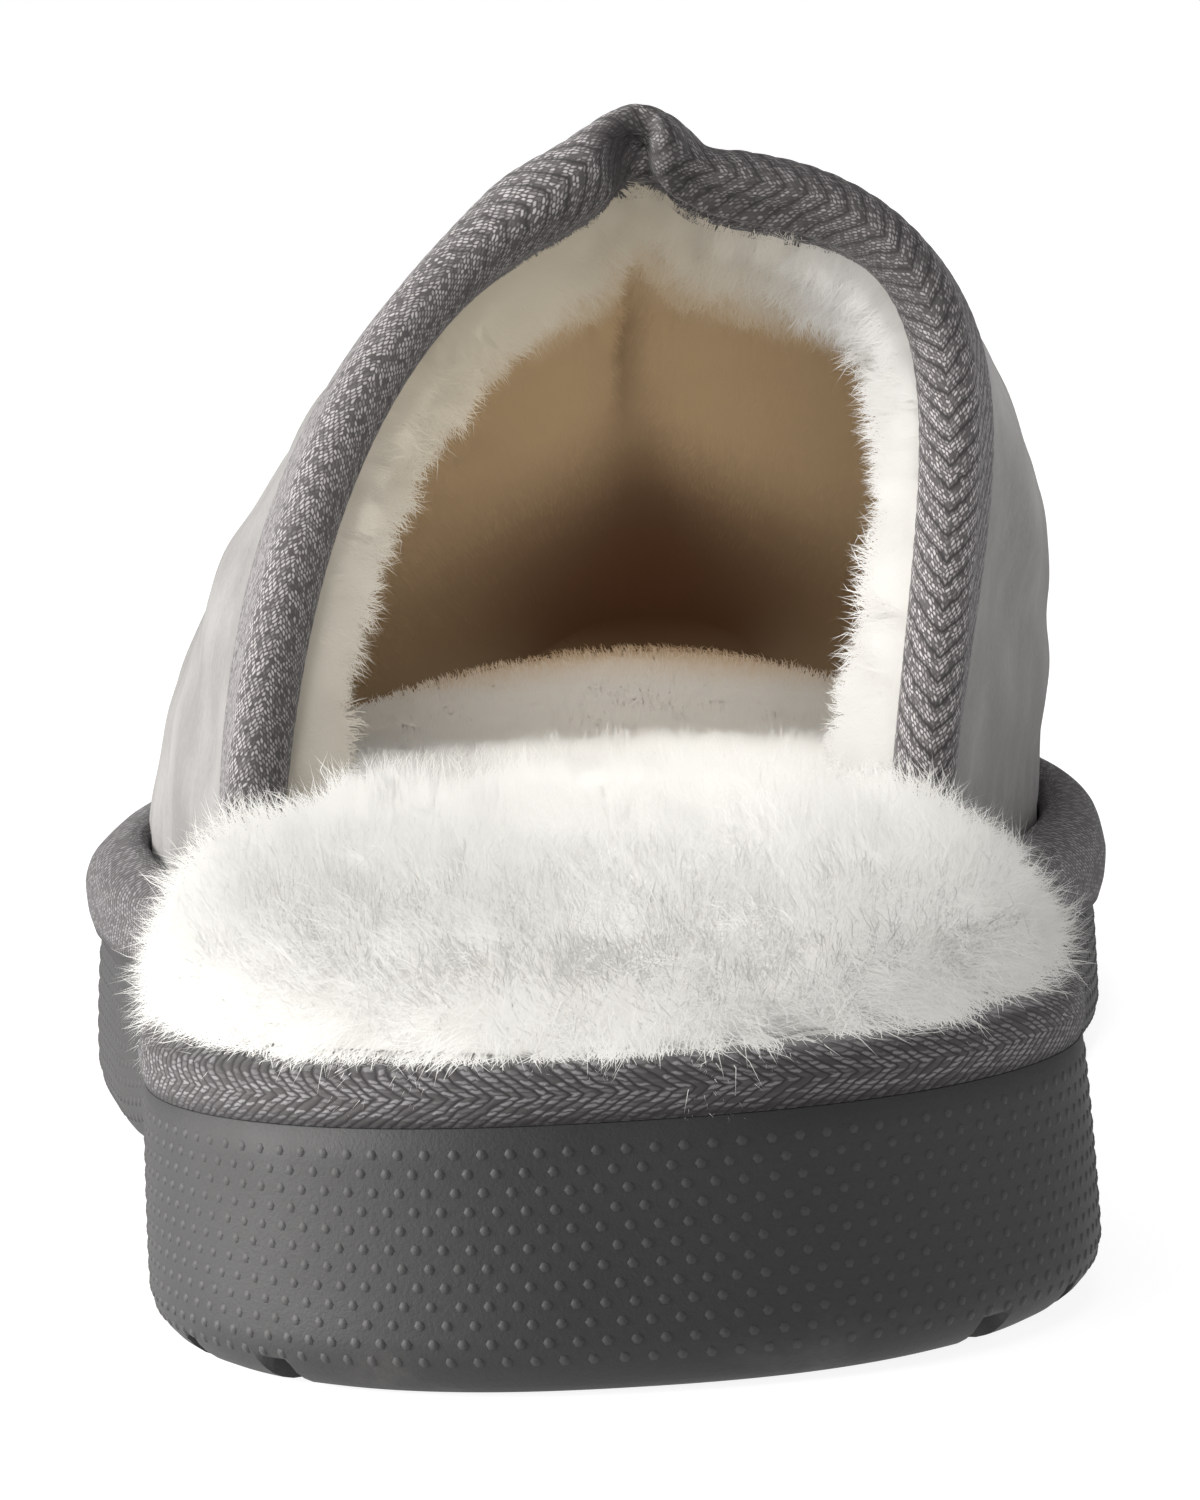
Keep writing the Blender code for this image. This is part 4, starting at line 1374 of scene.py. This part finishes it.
    def fur(
        self, points: np.ndarray, faces: np.ndarray, calm: np.ndarray, material: bpy.types.Material
    ) -> list[bpy.types.Object]:
        """Strands in two pieces, a thick under-layer and longer tufts over it.

        Args:
            points: Points of the pad.
            faces: Its quads that carry fur.
            calm: Its normals without lumps.
            material: Finish of the fur.

        Returns:
            Both pieces.
        """
        x, y, z = points.T
        from_middle = x - LAST.centre(y)
        from_heel = (y + LAST.length / 2 - self.heel_centre) * (y < -self.heel_round[0])
        out = unit(np.stack((from_middle, from_heel, 0 * x), 1))
        half = np.maximum(np.abs(LAST.edge(y, 1, 0.0) - LAST.centre(y)), 1 * MM)
        near_rim = np.clip(np.abs(from_middle) / half, 0, 1) ** 3
        rim = np.maximum(near_rim, blend(-y, *self.heel_round))[:, None]
        heel = (1 - blend(y, *self.heel_open))[:, None]
        flow = out * rim * (self.spread + self.spread_heel * heel) + np.array([0.0, -self.combed_back, 0.0])
        low = (1 - blend(z - LAST.height("band_top", y), *self.low_rim))[:, None]
        flow = flow - np.array([0.0, 0.0, self.droop]) * rim * heel * (1 + self.droop_low * low)
        reach = faded(y, self.shorter)
        weight = faded(y, self.thinner) * (1 + self.thicker_rim * (rim * heel)[:, 0])
        layers = (
            ("footbed_underfur", Pile(self.strands, 2600, 6.0 * MM, 0.10 * MM, 11)),
            ("footbed_tufts", Pile(self.strands, 1300, 7.5 * MM, 0.085 * MM, 12, gather=0.6, swing=0.7)),
        )
        made = []
        for name, pile in layers:
            strands, triangles, marks = pile.plant(points, faces, calm, flow, reach, weight, 0 * points)
            made.append(make_piece(name, strands, [triangles], material, marks, marks["facing"]))
        return made


@dataclass
class Vamp:
    """The suede upper: one hollow wall with a middle seam and soft creases."""

    wall: float = 2.0 * MM
    columns: int = 180
    rows: int = 120
    row_crowding: float = 0.25
    seam_depth: float = 0.9 * MM
    seam_width: float = 1.1 * MM
    seam_shoulder: float = 0.45 * MM
    seam_shoulder_at: float = 2.2 * MM
    seam_shoulder_width: float = 1.5 * MM
    seam_bead: float = 0.35
    seam_bead_pitch: float = 3.6 * MM
    seam_bead_from: float = 0.6 * MM
    seam_starts: Span = (9 * MM, 14 * MM)
    seam_ends: Span = (2 * MM, 12 * MM)
    lumps: tuple = (LumpRow(46, 3, 0.2), LumpRow(13, 4, 0.13))
    collar_calm: float = 0.15
    calm_past_collar: Span = (8 * MM, 20 * MM)
    calm_over_band: Span = (0.0, 7 * MM)
    calm_at_toe: Span = (0.0, 14 * MM)
    tuck_pitch: float = 6.5 * MM
    tuck_waver: tuple = (LumpRow(30, 8, 1.3),)
    tuck_height: float = 0.3 * MM
    tuck_reach: float = 6 * MM
    tuck_starts: Span = (0.0, 2 * MM)
    hollow: Triple = (-42 * MM, 38 * MM, 51 * MM)
    hollow_size: float = 17 * MM
    hollow_depth: float = 1.35 * MM
    weld_distance: float = 0.001 * MM
    creases: tuple = (
        Crease(-0.60, 0.06, -0.42, 0.32, 0.5, 6.0),
        Crease(-0.80, 0.10, -0.66, 0.38, 0.5, 5.5),
        Crease(-0.30, 0.34, 0.22, 0.40, 1.2, 5.0),
        Crease(-0.24, 0.50, 0.30, 0.54, 1.0, 4.5),
        Crease(0.40, 0.08, 0.56, 0.34, 0.5, 6.0),
        Crease(0.70, 0.04, 0.80, 0.30, 0.5, 5.0),
        Crease(0.82, 0.16, 0.72, 0.48, 0.4, 5.0),
        Crease(-0.70, 0.52, -0.40, 0.58, 0.8, 4.0),
        Crease(0.48, 0.56, 0.74, 0.60, 0.8, 4.0),
    )
    crease_steps: int = 25
    crease_ridge: float = 0.5
    crease_ridge_at: float = 1.9
    crease_ridge_width: float = 0.9

    def at(self, around: np.ndarray, toward: np.ndarray) -> np.ndarray:
        """Points of the smooth outer face at places around and from the collar to the toe."""
        collar = LAST.collar_y(around)
        return LAST.upper(collar + (LAST.tip - collar) * toward, around)

    def creased(self, points: np.ndarray) -> np.ndarray:
        """How far the creases move each point outward."""
        moved = np.zeros(points.shape[:-1])
        t = np.linspace(0, 1, self.crease_steps)
        for crease in self.creases:
            line = self.at(
                crease.around_from + (crease.around_to - crease.around_from) * t,
                crease.toward_from + (crease.toward_to - crease.toward_from) * t,
            )
            away = np.linalg.norm(points[..., None, :] - line, axis=-1)
            nearest = away.argmin(-1)
            d = away.min(-1) / (crease.width * MM)
            ends = np.sin(math.pi * np.clip(t[nearest], 0.04, 0.96)) ** 0.6
            ridge = self.crease_ridge * hump(d, self.crease_ridge_width, self.crease_ridge_at)
            moved += crease.depth * MM * ends * (ridge - hump(d, 1.0))
        return moved

    def seam(self, off_seam: np.ndarray, from_collar: np.ndarray, to_tip: np.ndarray) -> np.ndarray:
        """How far the middle seam moves each point outward: a trough between two beaded shoulders."""
        seam = self.seam_shoulder * hump(off_seam, self.seam_shoulder_width, self.seam_shoulder_at)
        seam -= self.seam_depth * hump(off_seam, self.seam_width)
        beads = np.sin(from_collar / self.seam_bead_pitch * 2 * math.pi) * (off_seam > self.seam_bead_from)
        seam *= 1 + self.seam_bead * beads
        return seam * blend(from_collar, *self.seam_starts) * blend(to_tip, *self.seam_ends)

    def build(self) -> list[bpy.types.Object]:
        """Makes the vamp in place of its solid."""
        around = np.linspace(-1, 1, self.columns + 1)
        t = np.linspace(0, 1, self.rows)
        toward = (1 - self.row_crowding) * t + self.row_crowding * (1 - np.cos(math.pi * t)) / 2
        around_grid, toward_grid = np.meshgrid(around, toward)
        smooth = self.at(around_grid, toward_grid)
        normals = grid_normals(smooth)
        normals[-1] = (0.0, 1.0, 0.0)
        from_collar = (LAST.tip - LAST.collar_y(around_grid)) * toward_grid
        above_band = smooth[..., 2] - LAST.height("band_top", smooth[..., 1])
        to_tip = LAST.tip - smooth[..., 1]
        calm = self.collar_calm + (1 - self.collar_calm) * blend(from_collar, *self.calm_past_collar)
        calm = calm * blend(above_band, *self.calm_over_band) * blend(to_tip, *self.calm_at_toe)
        moved = self.creased(smooth) + lumpy(smooth, self.lumps) * MM
        off_hollow = np.linalg.norm(smooth - np.array(self.hollow), axis=-1)
        moved -= self.hollow_depth * hump(off_hollow, self.hollow_size)
        tucks = np.sin(smooth[..., 1] / self.tuck_pitch * 2 * math.pi + lumpy(smooth, self.tuck_waver))
        tucks = tucks * hump(above_band, self.tuck_reach) * blend(above_band, *self.tuck_starts)
        moved = moved * calm + self.tuck_height * tucks
        ridge = self.at(np.zeros_like(toward_grid), toward_grid)
        moved += self.seam(np.abs(smooth[..., 0] - ridge[..., 0]), from_collar, to_tip)
        outer = self.with_skirt(smooth + normals * moved[..., None])
        inner = self.with_skirt(smooth - normals * self.wall, self.wall)
        rows, columns = outer.shape[:2]
        count = rows * columns
        faces = grid_faces(rows, columns)
        rim = self.rim(rows, columns, count)
        points = np.concatenate((outer.reshape(-1, 3), inner.reshape(-1, 3)))
        vamp = make_piece(
            "suede_vamp", points, [faces, faces[:, ::-1] + count, rim], SuedeFinish().material()
        )
        self.weld(vamp.data)
        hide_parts("upper")
        return [vamp]

    def weld(self, mesh: bpy.types.Mesh) -> None:
        """Joins the points that meet at the tip of the toe."""
        work = bmesh.new()
        work.from_mesh(mesh)
        bmesh.ops.remove_doubles(work, verts=work.verts, dist=self.weld_distance)
        work.to_mesh(mesh)
        work.free()

    def with_skirt(self, grid: np.ndarray, inset: float = 0.0) -> np.ndarray:
        """The grid with the lower edge, which is held between tape and footbed, on both sides."""
        edges = []
        for column, side in ((0, -1), (-1, 1)):
            y = grid[:, column, 1]
            y = np.where(LAST.tip - y < self.weld_distance, LAST.tip, y)
            x = LAST.edge(y, side, -LAST.upper_inset - inset)
            foot = LAST.height("joint", y) + LAST.gap
            edges.append(np.stack((x, y, foot), -1)[:, None])
        return np.concatenate((edges[0], grid, edges[1]), 1)

    @staticmethod
    def rim(rows: int, columns: int, count: int) -> np.ndarray:
        """Faces that join the outer and the inner wall round the edge, apart from the last row at the toe."""
        border = np.concatenate(
            (
                np.arange(columns),
                np.arange(1, rows) * columns + columns - 1,
                (rows - 1) * columns + np.arange(columns - 2, -1, -1),
                np.arange(rows - 2, 0, -1) * columns,
            )
        )
        after = np.roll(border, -1)
        joined = np.stack((border, border + count, after + count, after), 1)
        toe = np.s_[columns + rows - 2 : 2 * columns + rows - 3]
        return np.delete(joined, toe, axis=0)


@dataclass
class CollarTape:
    """Herringbone tape folded over the collar's padded edge, puckered where it meets the middle seam."""

    steps: int = 820
    fine_steps: int = 3001
    low_end: float = 0.975
    leg: float = 10.0 * MM
    leg_lift: float = 1.55 * MM
    leg_bulge: float = 0.15 * MM
    leg_thins: float = 0.75 * MM
    thins_over: Span = (14 * MM, 30 * MM)
    leg_ends: float = 0.4 * MM
    roll_inside: float = 5.2 * MM
    roll_nose: float = 3.2 * MM
    nose_starts: float = 0.2 * MM
    inner_rise: float = 0.8 * MM
    fold_power: float = 1.4
    slot_inside: float = 2.45 * MM
    slot_middle: float = 4.5 * MM
    leg_steps: int = 13
    nose_steps: int = 15
    slot_points: int = 6
    pucker_at: float = 1.2 * MM
    pucker_depth: float = 3.2 * MM
    pucker_starts: Span = (-3.6 * MM, 0.6 * MM)
    pucker_ends: Span = (3.2 * MM, 6.5 * MM)
    trough_left: float = 4.6 * MM
    trough_right: float = 0.9 * MM
    swell: Swell = Swell(3.2, 2.0, 0.35)
    shoulder: Swell = Swell(-12.5, 6.0, 1.1)
    shoulder_ends: Span = (0.0, 4 * MM)
    step: Swell = Swell(7.8, 2.3, 0.9)
    step_ends: Span = (0.0, 3 * MM)
    fold_pitch: float = 1.9 * MM
    fold_phase: float = 0.6
    folds_from: float = 0.8 * MM
    fold_depth: float = 0.7 * MM
    folds_start: Span = (1.5 * MM, 5 * MM)
    folds_end: Span = (14 * MM, 26 * MM)
    flat_rib: float = 0.3
    ribs_rise: Span = (-32 * MM, -8 * MM)
    # Painted shade, darkening the tape's colour: in the pucker's trough, in the folds beside it, along the top of the
    # collar and on the tape's inner half.
    pucker_shade: Swell = Swell(-3.4, 4.0, 1.0)
    pucker_shade_starts: Span = (-5.5 * MM, -1 * MM)
    fold_shade: float = 0.6
    top_shade: Span = (0.2, 0.55)
    top_shade_ends: Span = (30 * MM, 55 * MM)
    inner_shade: Span = (0.45, 0.66)
    inner_shade_starts: Span = (-1 * MM, 2.5 * MM)
    inner_shade_ends: Span = (30 * MM, 60 * MM)
    weave: Weave = Weave(2.4 * MM, 0.95, 0.12 * MM)
    yarns: float = 5.0

    def section(self) -> tuple[np.ndarray, np.ndarray, np.ndarray]:
        """Closed section of the tape: distance from the collar edge, height over the upper, place from the spine."""
        leg = np.linspace(self.leg, self.leg_ends, self.leg_steps)
        lift = self.leg_lift + self.leg_bulge * np.sin(math.pi * leg / self.leg)
        turn = np.linspace(math.pi / 2, -math.pi / 2, self.nose_steps + 2)[1:-1]
        nose = self.nose_starts - (self.roll_nose + self.nose_starts) * np.cos(turn) ** self.fold_power
        middle = 0.5 * (self.leg_lift - self.roll_inside)
        nose_lift = middle + 0.5 * (self.leg_lift + self.roll_inside) * np.sin(turn)
        inner = np.linspace(self.leg_ends, self.leg, self.leg_steps - 3)
        inner_lift = -self.roll_inside + self.inner_rise * (inner / self.leg) ** 2
        slot = np.array([self.leg, self.slot_middle, -LAST.gap])
        slot_lift = np.repeat((-self.slot_inside, LAST.gap), len(slot))
        along = np.concatenate((leg, nose, inner, slot, slot[::-1]))
        height = np.concatenate((lift, nose_lift, inner_lift, slot_lift))
        travel = np.concatenate(([0.0], np.cumsum(np.hypot(np.diff(along), np.diff(height)))))
        spine = travel[self.leg_steps + self.nose_steps // 2]
        return along, height, travel - spine

    def build(self) -> list[bpy.types.Object]:
        """Makes the tape in place of its solid."""
        fine = np.linspace(-self.low_end, self.low_end, self.fine_steps)
        line = LAST.upper(LAST.collar_y(fine), fine)
        travel = np.concatenate(([0.0], np.cumsum(np.linalg.norm(np.diff(line, axis=0), axis=1))))
        travel -= np.interp(0.0, fine, travel)
        even = np.linspace(travel[0], travel[-1], self.steps)[:, None]
        along, height, across = self.section()
        around_grid, along_grid = np.meshgrid(np.interp(even[:, 0], travel, fine), along, indexing="ij")
        here, normal, forward = LAST.upper_frame(around_grid, along_grid)
        legs = 1 - blend(np.arange(len(along)), self.leg_steps - 2, self.leg_steps + 5)
        lift = height - self.leg_thins * legs * blend(np.abs(even), *self.thins_over)
        relief, dim = self.dressed(even, across)
        outward = unit(self.section_normals(along, height))
        along_all = np.minimum(along_grid, 0.0) + relief * outward[:, 0]
        lift = lift + relief * outward[:, 1]
        points = here + normal * lift[..., None] + forward * along_all[..., None]
        rows, columns = points.shape[:2]
        ring = np.arange(columns)
        caps = [ring[None, ::-1], (ring + (rows - 1) * columns)[None]]
        # The tape mark's third value is the share left free of painted shade.
        marks = np.stack([np.broadcast_to(part, lift.shape) for part in (even, across, 1 - dim)], -1)
        tape = make_piece(
            "collar_tape",
            points.reshape(-1, 3),
            [grid_faces(rows, columns, closed=True), *caps],
            TapeFinish("collar_herringbone", self.weave.pitch, self.weave.slant, self.yarns).material(),
            {"tape": marks.reshape(-1, 3)},
        )
        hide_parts("collar_binding")
        return [tape]

    def dressed(self, even: np.ndarray, across: np.ndarray) -> tuple[np.ndarray, np.ndarray]:
        """Relief of the tape and its painted shade: in the pucker, in its folds, along its top and on its inner half.

        Args:
            even: Way along the tape from the ridge, as a column.
            across: Way across the tape from its spine, as a row.

        Returns:
            Height and share of painted shade, each along by across.
        """
        run = even - self.pucker_at
        shown = np.zeros(len(across))
        shown[1 : len(across) - self.slot_points - 1] = 1.0
        face = blend(across, *self.pucker_starts) * (1 - blend(across, *self.pucker_ends)) * shown
        trough = hump(run, np.where(run < 0, self.trough_left, self.trough_right))
        pinch = (self.swell.at(run) - trough) * face * self.pucker_depth
        shoulder = self.shoulder.at(even) * MM * (1 - blend(across, *self.shoulder_ends)) * shown
        step = self.step.at(even) * MM * (1 - blend(across, *self.step_ends)) * shown
        folds = np.sin(across / self.fold_pitch * math.pi + self.fold_phase) * (across > self.folds_from)
        fold_room = blend(run, *self.folds_start) * (1 - blend(run, *self.folds_end))
        crimp = folds * shown * fold_room * self.fold_depth
        ribs = self.weave.relief(np.broadcast_to(even, (len(even), len(across))), across)
        ribs = ribs * (self.flat_rib + (1 - self.flat_rib) * blend(even, *self.ribs_rise))
        dim = self.pucker_shade.at(run) * blend(across, *self.pucker_shade_starts)
        dim = np.maximum(dim, self.fold_shade * np.clip(-folds, 0, 1) * fold_room)
        top = np.where(run < 0, *self.top_shade) * (1 - blend(np.abs(run), *self.top_shade_ends))
        left, right = self.inner_shade
        inner = np.where(run < 0, left, right * (1 - blend(run, *self.inner_shade_ends)))
        dim = np.maximum(np.maximum(dim, top), inner * blend(across, *self.inner_shade_starts))
        return ribs * shown + pinch + crimp + shoulder - step, dim

    @staticmethod
    def section_normals(along: np.ndarray, height: np.ndarray) -> np.ndarray:
        """Outward directions round the closed section, as along and height."""
        a = np.roll(along, -1) - np.roll(along, 1)
        h = np.roll(height, -1) - np.roll(height, 1)
        return np.stack((h, -a), 1)


@dataclass
class Lining:
    """Fur lining of the vamp: a soft lumpy skin, a seam down its middle and the strands on it."""

    columns: int = 130
    rows: int = 70
    row_crowding: float = 1.35
    start: float = 4 * MM
    skin: float = 2.4 * MM
    least: float = 0.5 * MM
    depth_start: float = 4.6 * MM
    depth_full: float = 9.2 * MM
    depth_inside: float = 6.4 * MM
    fills: Span = (0.0, 9 * MM)
    thins: Span = (14 * MM, 42 * MM)
    left_kept: float = 0.75
    left_side: Span = (0.12, 0.4)
    toe_thins: float = 0.4
    toe_zone: Span = (0.8, 0.95)
    ridge_thins: float = 0.35
    ridge_zone: float = 0.2
    lump: float = 0.9 * MM
    lumps: tuple = (LumpRow(12, 21, 0.7), LumpRow(5.5, 22, 0.4))
    lumps_start: Span = (0.0, 8 * MM)
    lumps_end: Span = (8 * MM, 30 * MM)
    seam_depth: float = 2.6 * MM
    seam_width: float = 2.4 * MM
    seam_starts: Span = (6 * MM, 18 * MM)
    reach_toe: float = 0.955
    low: float = 0.995
    shape_shown: float = 0.09
    toward_mouth: Triple = (0.0, -0.75, 0.1)
    # Painted shade in the tone mark: warm cream on the left and top, a dark line and a widening shade down the seam,
    # and side walls spared some of the deep shade.
    cream_ends: Span = (0.0, 0.26)
    cream_low: float = 0.65
    cream_low_zone: Span = (-0.6, -0.3)
    seam_cream: float = 0.9
    seam_cream_width: float = 9 * MM
    line_width: float = 1.1 * MM
    line_starts: Span = (20 * MM, 44 * MM)
    shade_width: float = 3.5 * MM
    shade_widens: float = 12 * MM
    shade_widens_over: Span = (40 * MM, 135 * MM)
    shade_starts: Span = (35 * MM, 125 * MM)
    sides_spared: float = 0.55
    sides: Span = (0.2, 0.75)
    strands: int = 96000
    near_mouth: float = 34 * MM
    inside_weight: float = 0.12
    above_bed: Span = (-8 * MM, 0.0)
    under_bed_weight: float = 0.05
    inside_reach: float = 0.22
    seam_shorter: float = 0.45
    seam_shorter_width: float = 4 * MM
    combed: Triple = (0.0, -0.45, -0.25)
    # The lining's whites are a darker copy of the footbed fur's, as painted shade inside the upper; cream, tan and
    # deep are painted shade colours.
    finish: FurFinish = FurFinish(
        "lining_fur",
        *(-6 * MM, 26 * MM, 58 * MM, 138 * MM),
        tip=(0.475, 0.470, 0.456),
        root=(0.445, 0.433, 0.408),
        cream=(0.40, 0.358, 0.285),
        tan=(0.28, 0.198, 0.114),
        deep=(0.036, 0.0125, 0.003),
    )

    def thickness(self, along: np.ndarray, around: np.ndarray, here: np.ndarray, off_seam: np.ndarray) -> np.ndarray:
        """How far the fur stands in from the suede.

        Args:
            along: Way in from the mouth.
            around: Place around the section, 0 on the ridge.
            here: Points on the suede.
            off_seam: Distance from the middle seam.

        Returns:
            One thickness a place.
        """
        depth = self.depth_start + (self.depth_full - self.depth_start) * blend(along, *self.fills)
        thinner = (self.depth_full - self.depth_inside) * (1 - self.left_kept * blend(-around, *self.left_side))
        depth = depth - thinner * blend(along, *self.thins)
        depth = depth * (1 - self.toe_thins * blend(LAST.share(here[..., 1]), *self.toe_zone))
        depth = depth * (1 - self.ridge_thins * hump(around, self.ridge_zone))
        valley = self.seam_depth * hump(off_seam, self.seam_width) * blend(along, *self.seam_starts)
        swell = self.lump * blend(along, *self.lumps_start) * (1 - blend(along, *self.lumps_end))
        return np.maximum(depth - valley + lumpy(here, self.lumps) * swell, self.skin + self.least)

    def tone(self, along: np.ndarray, around: np.ndarray, off_seam: np.ndarray) -> np.ndarray:
        """Shares of painted shade, three a place: warm cream, seam shade and how far the deep shade is spared."""
        low = self.cream_low + (1 - self.cream_low) * blend(around, *self.cream_low_zone)
        cream = (1 - blend(around, *self.cream_ends)) * low
        cream = np.maximum(cream, self.seam_cream * hump(off_seam, self.seam_cream_width))
        line = hump(off_seam, self.line_width) * blend(along, *self.line_starts)
        width = self.shade_width + self.shade_widens * blend(along, *self.shade_widens_over)
        seam_shade = np.maximum(line, hump(off_seam, width) * blend(along, *self.shade_starts))
        deep_shade_spared = self.sides_spared * blend(np.abs(around), *self.sides)
        return np.stack((cream, seam_shade, deep_shade_spared), -1).reshape(-1, 3)

    def build(self) -> list[bpy.types.Object]:
        """Makes the lining and its strands."""
        toward = np.linspace(0, 1, self.rows) ** self.row_crowding * self.reach_toe
        around, toward = np.meshgrid(np.linspace(-self.low, self.low, self.columns), toward)
        along = (LAST.tip - (LAST.collar_y(around) + self.start)) * toward
        here, normal, _ = LAST.upper_frame(around, along + self.start)
        off_seam = here[..., 0] - LAST.upper(here[..., 1], np.zeros_like(around))[..., 0]
        inner = here - normal * self.thickness(along, around, here, off_seam)[..., None]
        outer = here - normal * self.skin
        rows, columns = around.shape
        count = rows * columns
        faces = grid_faces(rows, columns)
        rim = Vamp.rim(rows, columns, count)[:, ::-1]
        last = count - columns + np.arange(columns)
        foot = np.array([[last[-1], last[0], last[0] + count, last[-1] + count]])
        calm = unit(-normal.reshape(-1, 3) * self.shape_shown + self.toward_mouth)
        tone = self.tone(along, around, off_seam)
        marks = {
            "strand": np.tile(SKIN_MARK, (2 * count, 1)),
            "facing": np.concatenate((calm, -calm)),
            "tone": np.concatenate((tone, tone)),
        }
        material = self.finish.material()
        skin = make_piece(
            "vamp_lining",
            np.concatenate((inner.reshape(-1, 3), outer.reshape(-1, 3))),
            [faces[:, ::-1], faces + count, rim, last[None, ::-1], last[None] + count, foot],
            material,
            marks,
        )
        skin.visible_shadow = False
        flat = inner.reshape(-1, 3)
        near = np.exp(-(along.reshape(-1) / self.near_mouth))
        above = blend(flat[:, 2] - LAST.height("fur_top", flat[:, 1]), *self.above_bed)
        weight = (self.inside_weight + near) * (self.under_bed_weight + (1 - self.under_bed_weight) * above)
        seam_calm = 1 - self.seam_shorter * hump(off_seam.reshape(-1), self.seam_shorter_width)
        reach = (self.inside_reach + (1 - self.inside_reach) * near) * seam_calm
        flow = np.tile(np.array([self.combed]), (count, 1))
        pile = Pile(self.strands, 1500, 5.4 * MM, 0.08 * MM, 31, gather=0.5, swing=0.5)
        strands, triangles, marks = pile.plant(flat, faces[:, ::-1], calm, flow, reach, weight, tone)
        fur = make_piece("lining_pile", strands, [triangles], material, marks, marks["facing"])
        return [skin, fur]


class LightRow(NamedTuple):
    """Soft light: place, size in metres, power in watts, colour and the place that it is turned to."""

    name: str
    place: Triple
    size: float
    power: float
    colour: Triple
    aim: Triple = (0.0, -0.02, 0.05)
    spread: float = math.pi


@dataclass
class Studio:
    """Pale floor, soft light from the left and the camera behind the heel."""

    floor_radius: float = 14.0
    floor_steps: int = 96
    ambient: float = 0.165
    camera_place: Triple = (-0.668 * MM, -839.16 * MM, 134.609 * MM)
    yaw: float = 0.0014
    pitch: float = 0.1128
    roll: float = 0.0595
    focal_pixels: float = 8402.2
    long_side_pixels: float = 1500.0
    sensor: float = 36.0
    lights: tuple = (
        LightRow("key_left", (-1.75, -0.22, 0.42), 1.3, 94.0, (1.0, 0.99, 0.975)),
        LightRow("top", (-0.15, -0.55, 1.7), 1.4, 11.0, (1.0, 1.0, 1.0)),
        LightRow("fill_right", (1.4, -0.3, 0.6), 1.2, 4.2, (0.98, 0.99, 1.0)),
        LightRow(
            "mouth", (0.002, -0.60, 0.118), 0.03, 0.009, (1.0, 0.97, 0.93), (0.006, 0.06, 0.053), math.radians(8.5)
        ),
        LightRow("bed", (0.0, -0.25, 0.35), 0.12, 0.018, (1.0, 0.98, 0.95), (0.004, 0.010, 0.035), math.radians(16)),
    )

    def build(self) -> None:
        """Makes the stage."""
        self.floor()
        self.light()
        self.camera()

    def floor(self) -> None:
        """A wide pale disc that the slipper stands on."""
        turns = np.linspace(0, 2 * math.pi, self.floor_steps, endpoint=False)
        ring = np.stack((np.cos(turns), np.sin(turns), 0 * turns), 1) * self.floor_radius
        mesh = bpy.data.meshes.new("floor")
        mesh.from_pydata(ring.tolist(), [], [list(range(self.floor_steps))])
        mesh.materials.append(FloorFinish().material())
        floor = bpy.data.objects.new("floor", mesh)
        bpy.context.scene.collection.objects.link(floor)

    def light(self) -> None:
        """Even ambient light and a few large soft lamps."""
        world = bpy.data.worlds.new("soft_room")
        world.use_nodes = True
        background = world.node_tree.nodes["Background"]
        background.inputs["Color"].default_value = (1.0, 1.0, 1.0, 1.0)
        background.inputs["Strength"].default_value = self.ambient
        bpy.context.scene.world = world
        bpy.context.scene.view_settings.view_transform = "Standard"
        for row in self.lights:
            lamp = bpy.data.lights.new(row.name, "AREA")
            lamp.shape = "DISK"
            lamp.size = row.size
            lamp.spread = row.spread
            lamp.energy = row.power
            lamp.color = row.colour
            holder = bpy.data.objects.new(row.name, lamp)
            holder.location = row.place
            toward = Vector(row.aim) - Vector(row.place)
            holder.rotation_euler = toward.to_track_quat("-Z", "Y").to_euler()
            holder.visible_camera = False
            bpy.context.scene.collection.objects.link(holder)

    def camera(self) -> None:
        """The camera behind the heel, a little above it and rolled."""
        level_right = Vector((math.cos(self.yaw), -math.sin(self.yaw), 0.0))
        level_forward = Vector((math.sin(self.yaw), math.cos(self.yaw), 0.0))
        upright = Vector((0.0, 0.0, 1.0))
        forward = level_forward * math.cos(self.pitch) - upright * math.sin(self.pitch)
        up = level_forward * math.sin(self.pitch) + upright * math.cos(self.pitch)
        right_rolled = level_right * math.cos(self.roll) - up * math.sin(self.roll)
        up_rolled = level_right * math.sin(self.roll) + up * math.cos(self.roll)
        turn = Matrix((right_rolled, up_rolled, -forward)).transposed().to_4x4()
        lens = bpy.data.cameras.new("camera")
        lens.sensor_width = self.sensor
        lens.lens = self.focal_pixels * self.sensor / self.long_side_pixels
        lens.clip_start, lens.clip_end = 0.01, 100.0
        camera = bpy.data.objects.new("camera", lens)
        camera.matrix_world = Matrix.Translation(Vector(self.camera_place)) @ turn
        bpy.context.scene.collection.objects.link(camera)
        bpy.context.scene.camera = camera


def main() -> None:
    """Builds the slipper's sub-assemblies and the stage."""
    logging.basicConfig(level=logging.INFO, format="%(message)s")
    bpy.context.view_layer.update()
    Studio().build()
    for assembly in (Outsole(), PlatformTape(), Footbed(), Vamp(), CollarTape(), Lining()):
        for piece in assembly.build():
            LOG.info("built %s", piece.name)


if __name__ == "__main__":
    main()
